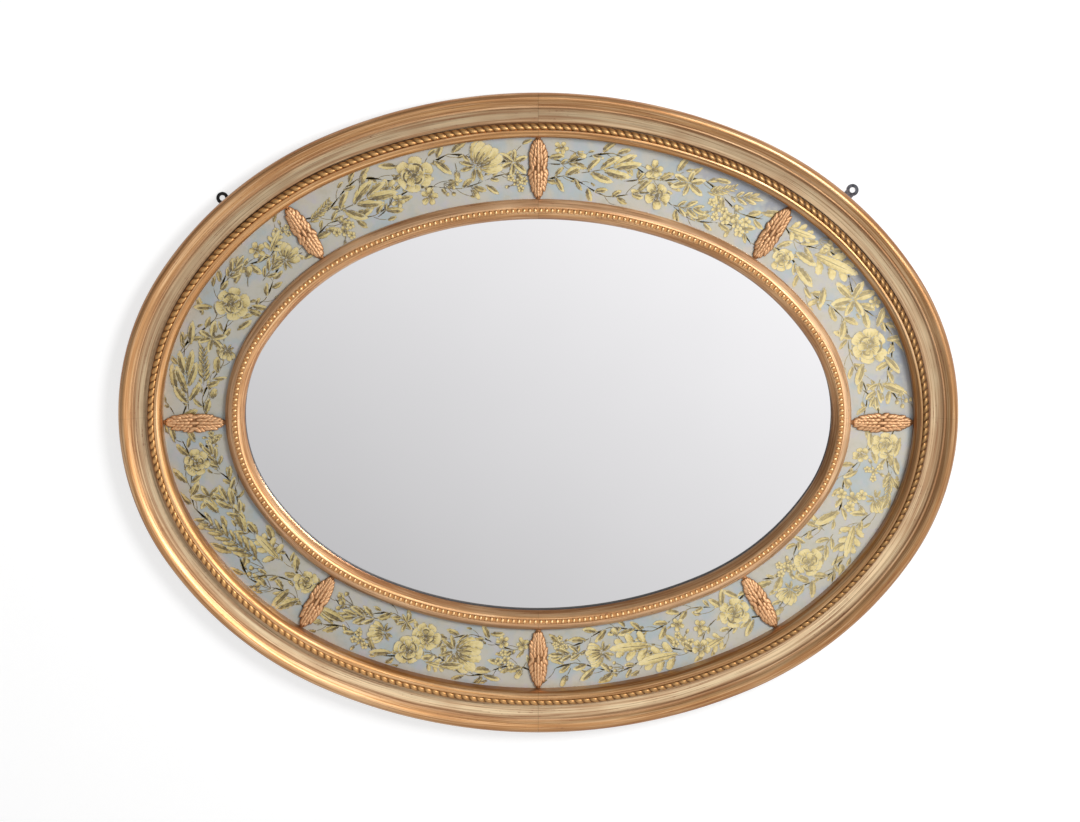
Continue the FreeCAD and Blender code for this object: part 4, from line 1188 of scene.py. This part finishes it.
def wallMesh():
    bm = bmesh.new()
    inner, outer = [], []
    for turn in range(360):
        foot = spot(turn, stage["holeInset"], 0)
        inner.append(bm.verts.new((foot.x, stage["gap"], foot.z)))
        out = Vector((cos(radians(turn)), sin(radians(turn))))
        out *= stage["wallHalf"] / max(abs(out.x), abs(out.y))
        outer.append(bm.verts.new((out.x, stage["gap"], max(out.y, stage["floorHeight"]))))
    for i in range(360):
        bm.faces.new((inner[i - 1], inner[i], outer[i], outer[i - 1]))
    bm.normal_update()
    if bm.faces[:][0].normal.y > 0:
        bmesh.ops.reverse_faces(bm, faces=bm.faces)
    return bm


def floorMesh():
    bm = bmesh.new()
    bmesh.ops.create_grid(bm, x_segments=1, y_segments=1, size=1)
    for vert in bm.verts:
        vert.co = (vert.co.x * stage["floorHalf"], vert.co.y * stage["floorFront"], stage["floorHeight"])
    return bm


for made in (addMesh(wallMesh(), "wall", [stageMaterial("pale_wall", True)]),
             addMesh(floorMesh(), "floor", [stageMaterial("pale_floor", False)])):
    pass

# Light: one large soft lamp from the upper right. Gloss sees a studio that is brightest in front and to the
# right, darker to the left, overhead and towards the floor, and other light is plain.
light = {"towards": (0.446, -0.839, 0.312), "distance": 3.0, "size": 1.0, "power": 58.0, "plain": 0.4,
         "across": 1.76, "up": 2.64, "front": 1.32, "least": 0.24, "most": 1.05,
         "overhead": (0.5, 0.05, 0.3, 1.0), "right": (0.12, 0.5, 0.0, 1.0)}

lampData = bpy.data.lights.new("key_lamp", "AREA")
lampData.shape, lampData.size, lampData.energy = "DISK", light["size"], light["power"]
lamp = addObject("key_lamp", lampData)
lamp.location = Vector(light["towards"]).normalized() * light["distance"]
lamp.rotation_euler = (-Vector(light["towards"])).to_track_quat("-Z", "Y").to_euler()
lamp.visible_camera = False


def makeWorld():
    world = bpy.data.worlds.new("studio")
    bpy.context.scene.world = world
    world.use_nodes = True
    world.node_tree.nodes.clear()
    add = partial(addNode, world.node_tree)
    ray, way = add("ray"), add("split", add("direction"))
    level = add("MULTIPLY_ADD", way["X"], light["across"], light["front"])
    level = add("MULTIPLY_ADD", way["Z"], light["up"], level)
    level = add("MINIMUM", add("MAXIMUM", level, 0.0), light["most"])
    level = add("MULTIPLY", level, add("fit", way["Z"], *light["overhead"]))
    level = add("MAXIMUM", add("MAXIMUM", level, light["least"]), add("fit", way["X"], *light["right"]))
    seen = add("MAXIMUM", ray["Is Camera Ray"], ray["Is Transmission Ray"])
    others = add("SUBTRACT", 1.0, add("MAXIMUM", seen, ray["Is Glossy Ray"]))
    strength = add("ADD", add("MULTIPLY", level, ray["Is Glossy Ray"]), seen)
    strength = add("MULTIPLY_ADD", others, light["plain"], strength)
    add("surroundings", add("background", strength))


makeWorld()

# Camera: a little above the mirror's middle, with a long lens
camera = {"elevation": 11.2, "distance": 4.93, "lens": 116.2, "sensor": 36.0, "shiftX": 0.0016,
          "shiftY": 0.0024}
cameraData = bpy.data.cameras.new("camera")
cameraData.lens, cameraData.sensor_width = camera["lens"], camera["sensor"]
cameraData.shift_x, cameraData.shift_y = camera["shiftX"], camera["shiftY"]
cameraObject = addObject("camera", cameraData)
raised = radians(camera["elevation"])
cameraObject.location = Vector((0, -cos(raised), sin(raised))) * camera["distance"]
cameraObject.rotation_euler = (radians(90) - raised, 0, 0)
bpy.context.scene.camera = cameraObject
bpy.context.scene.view_settings.view_transform = "Standard"
print("stage, light and camera set")
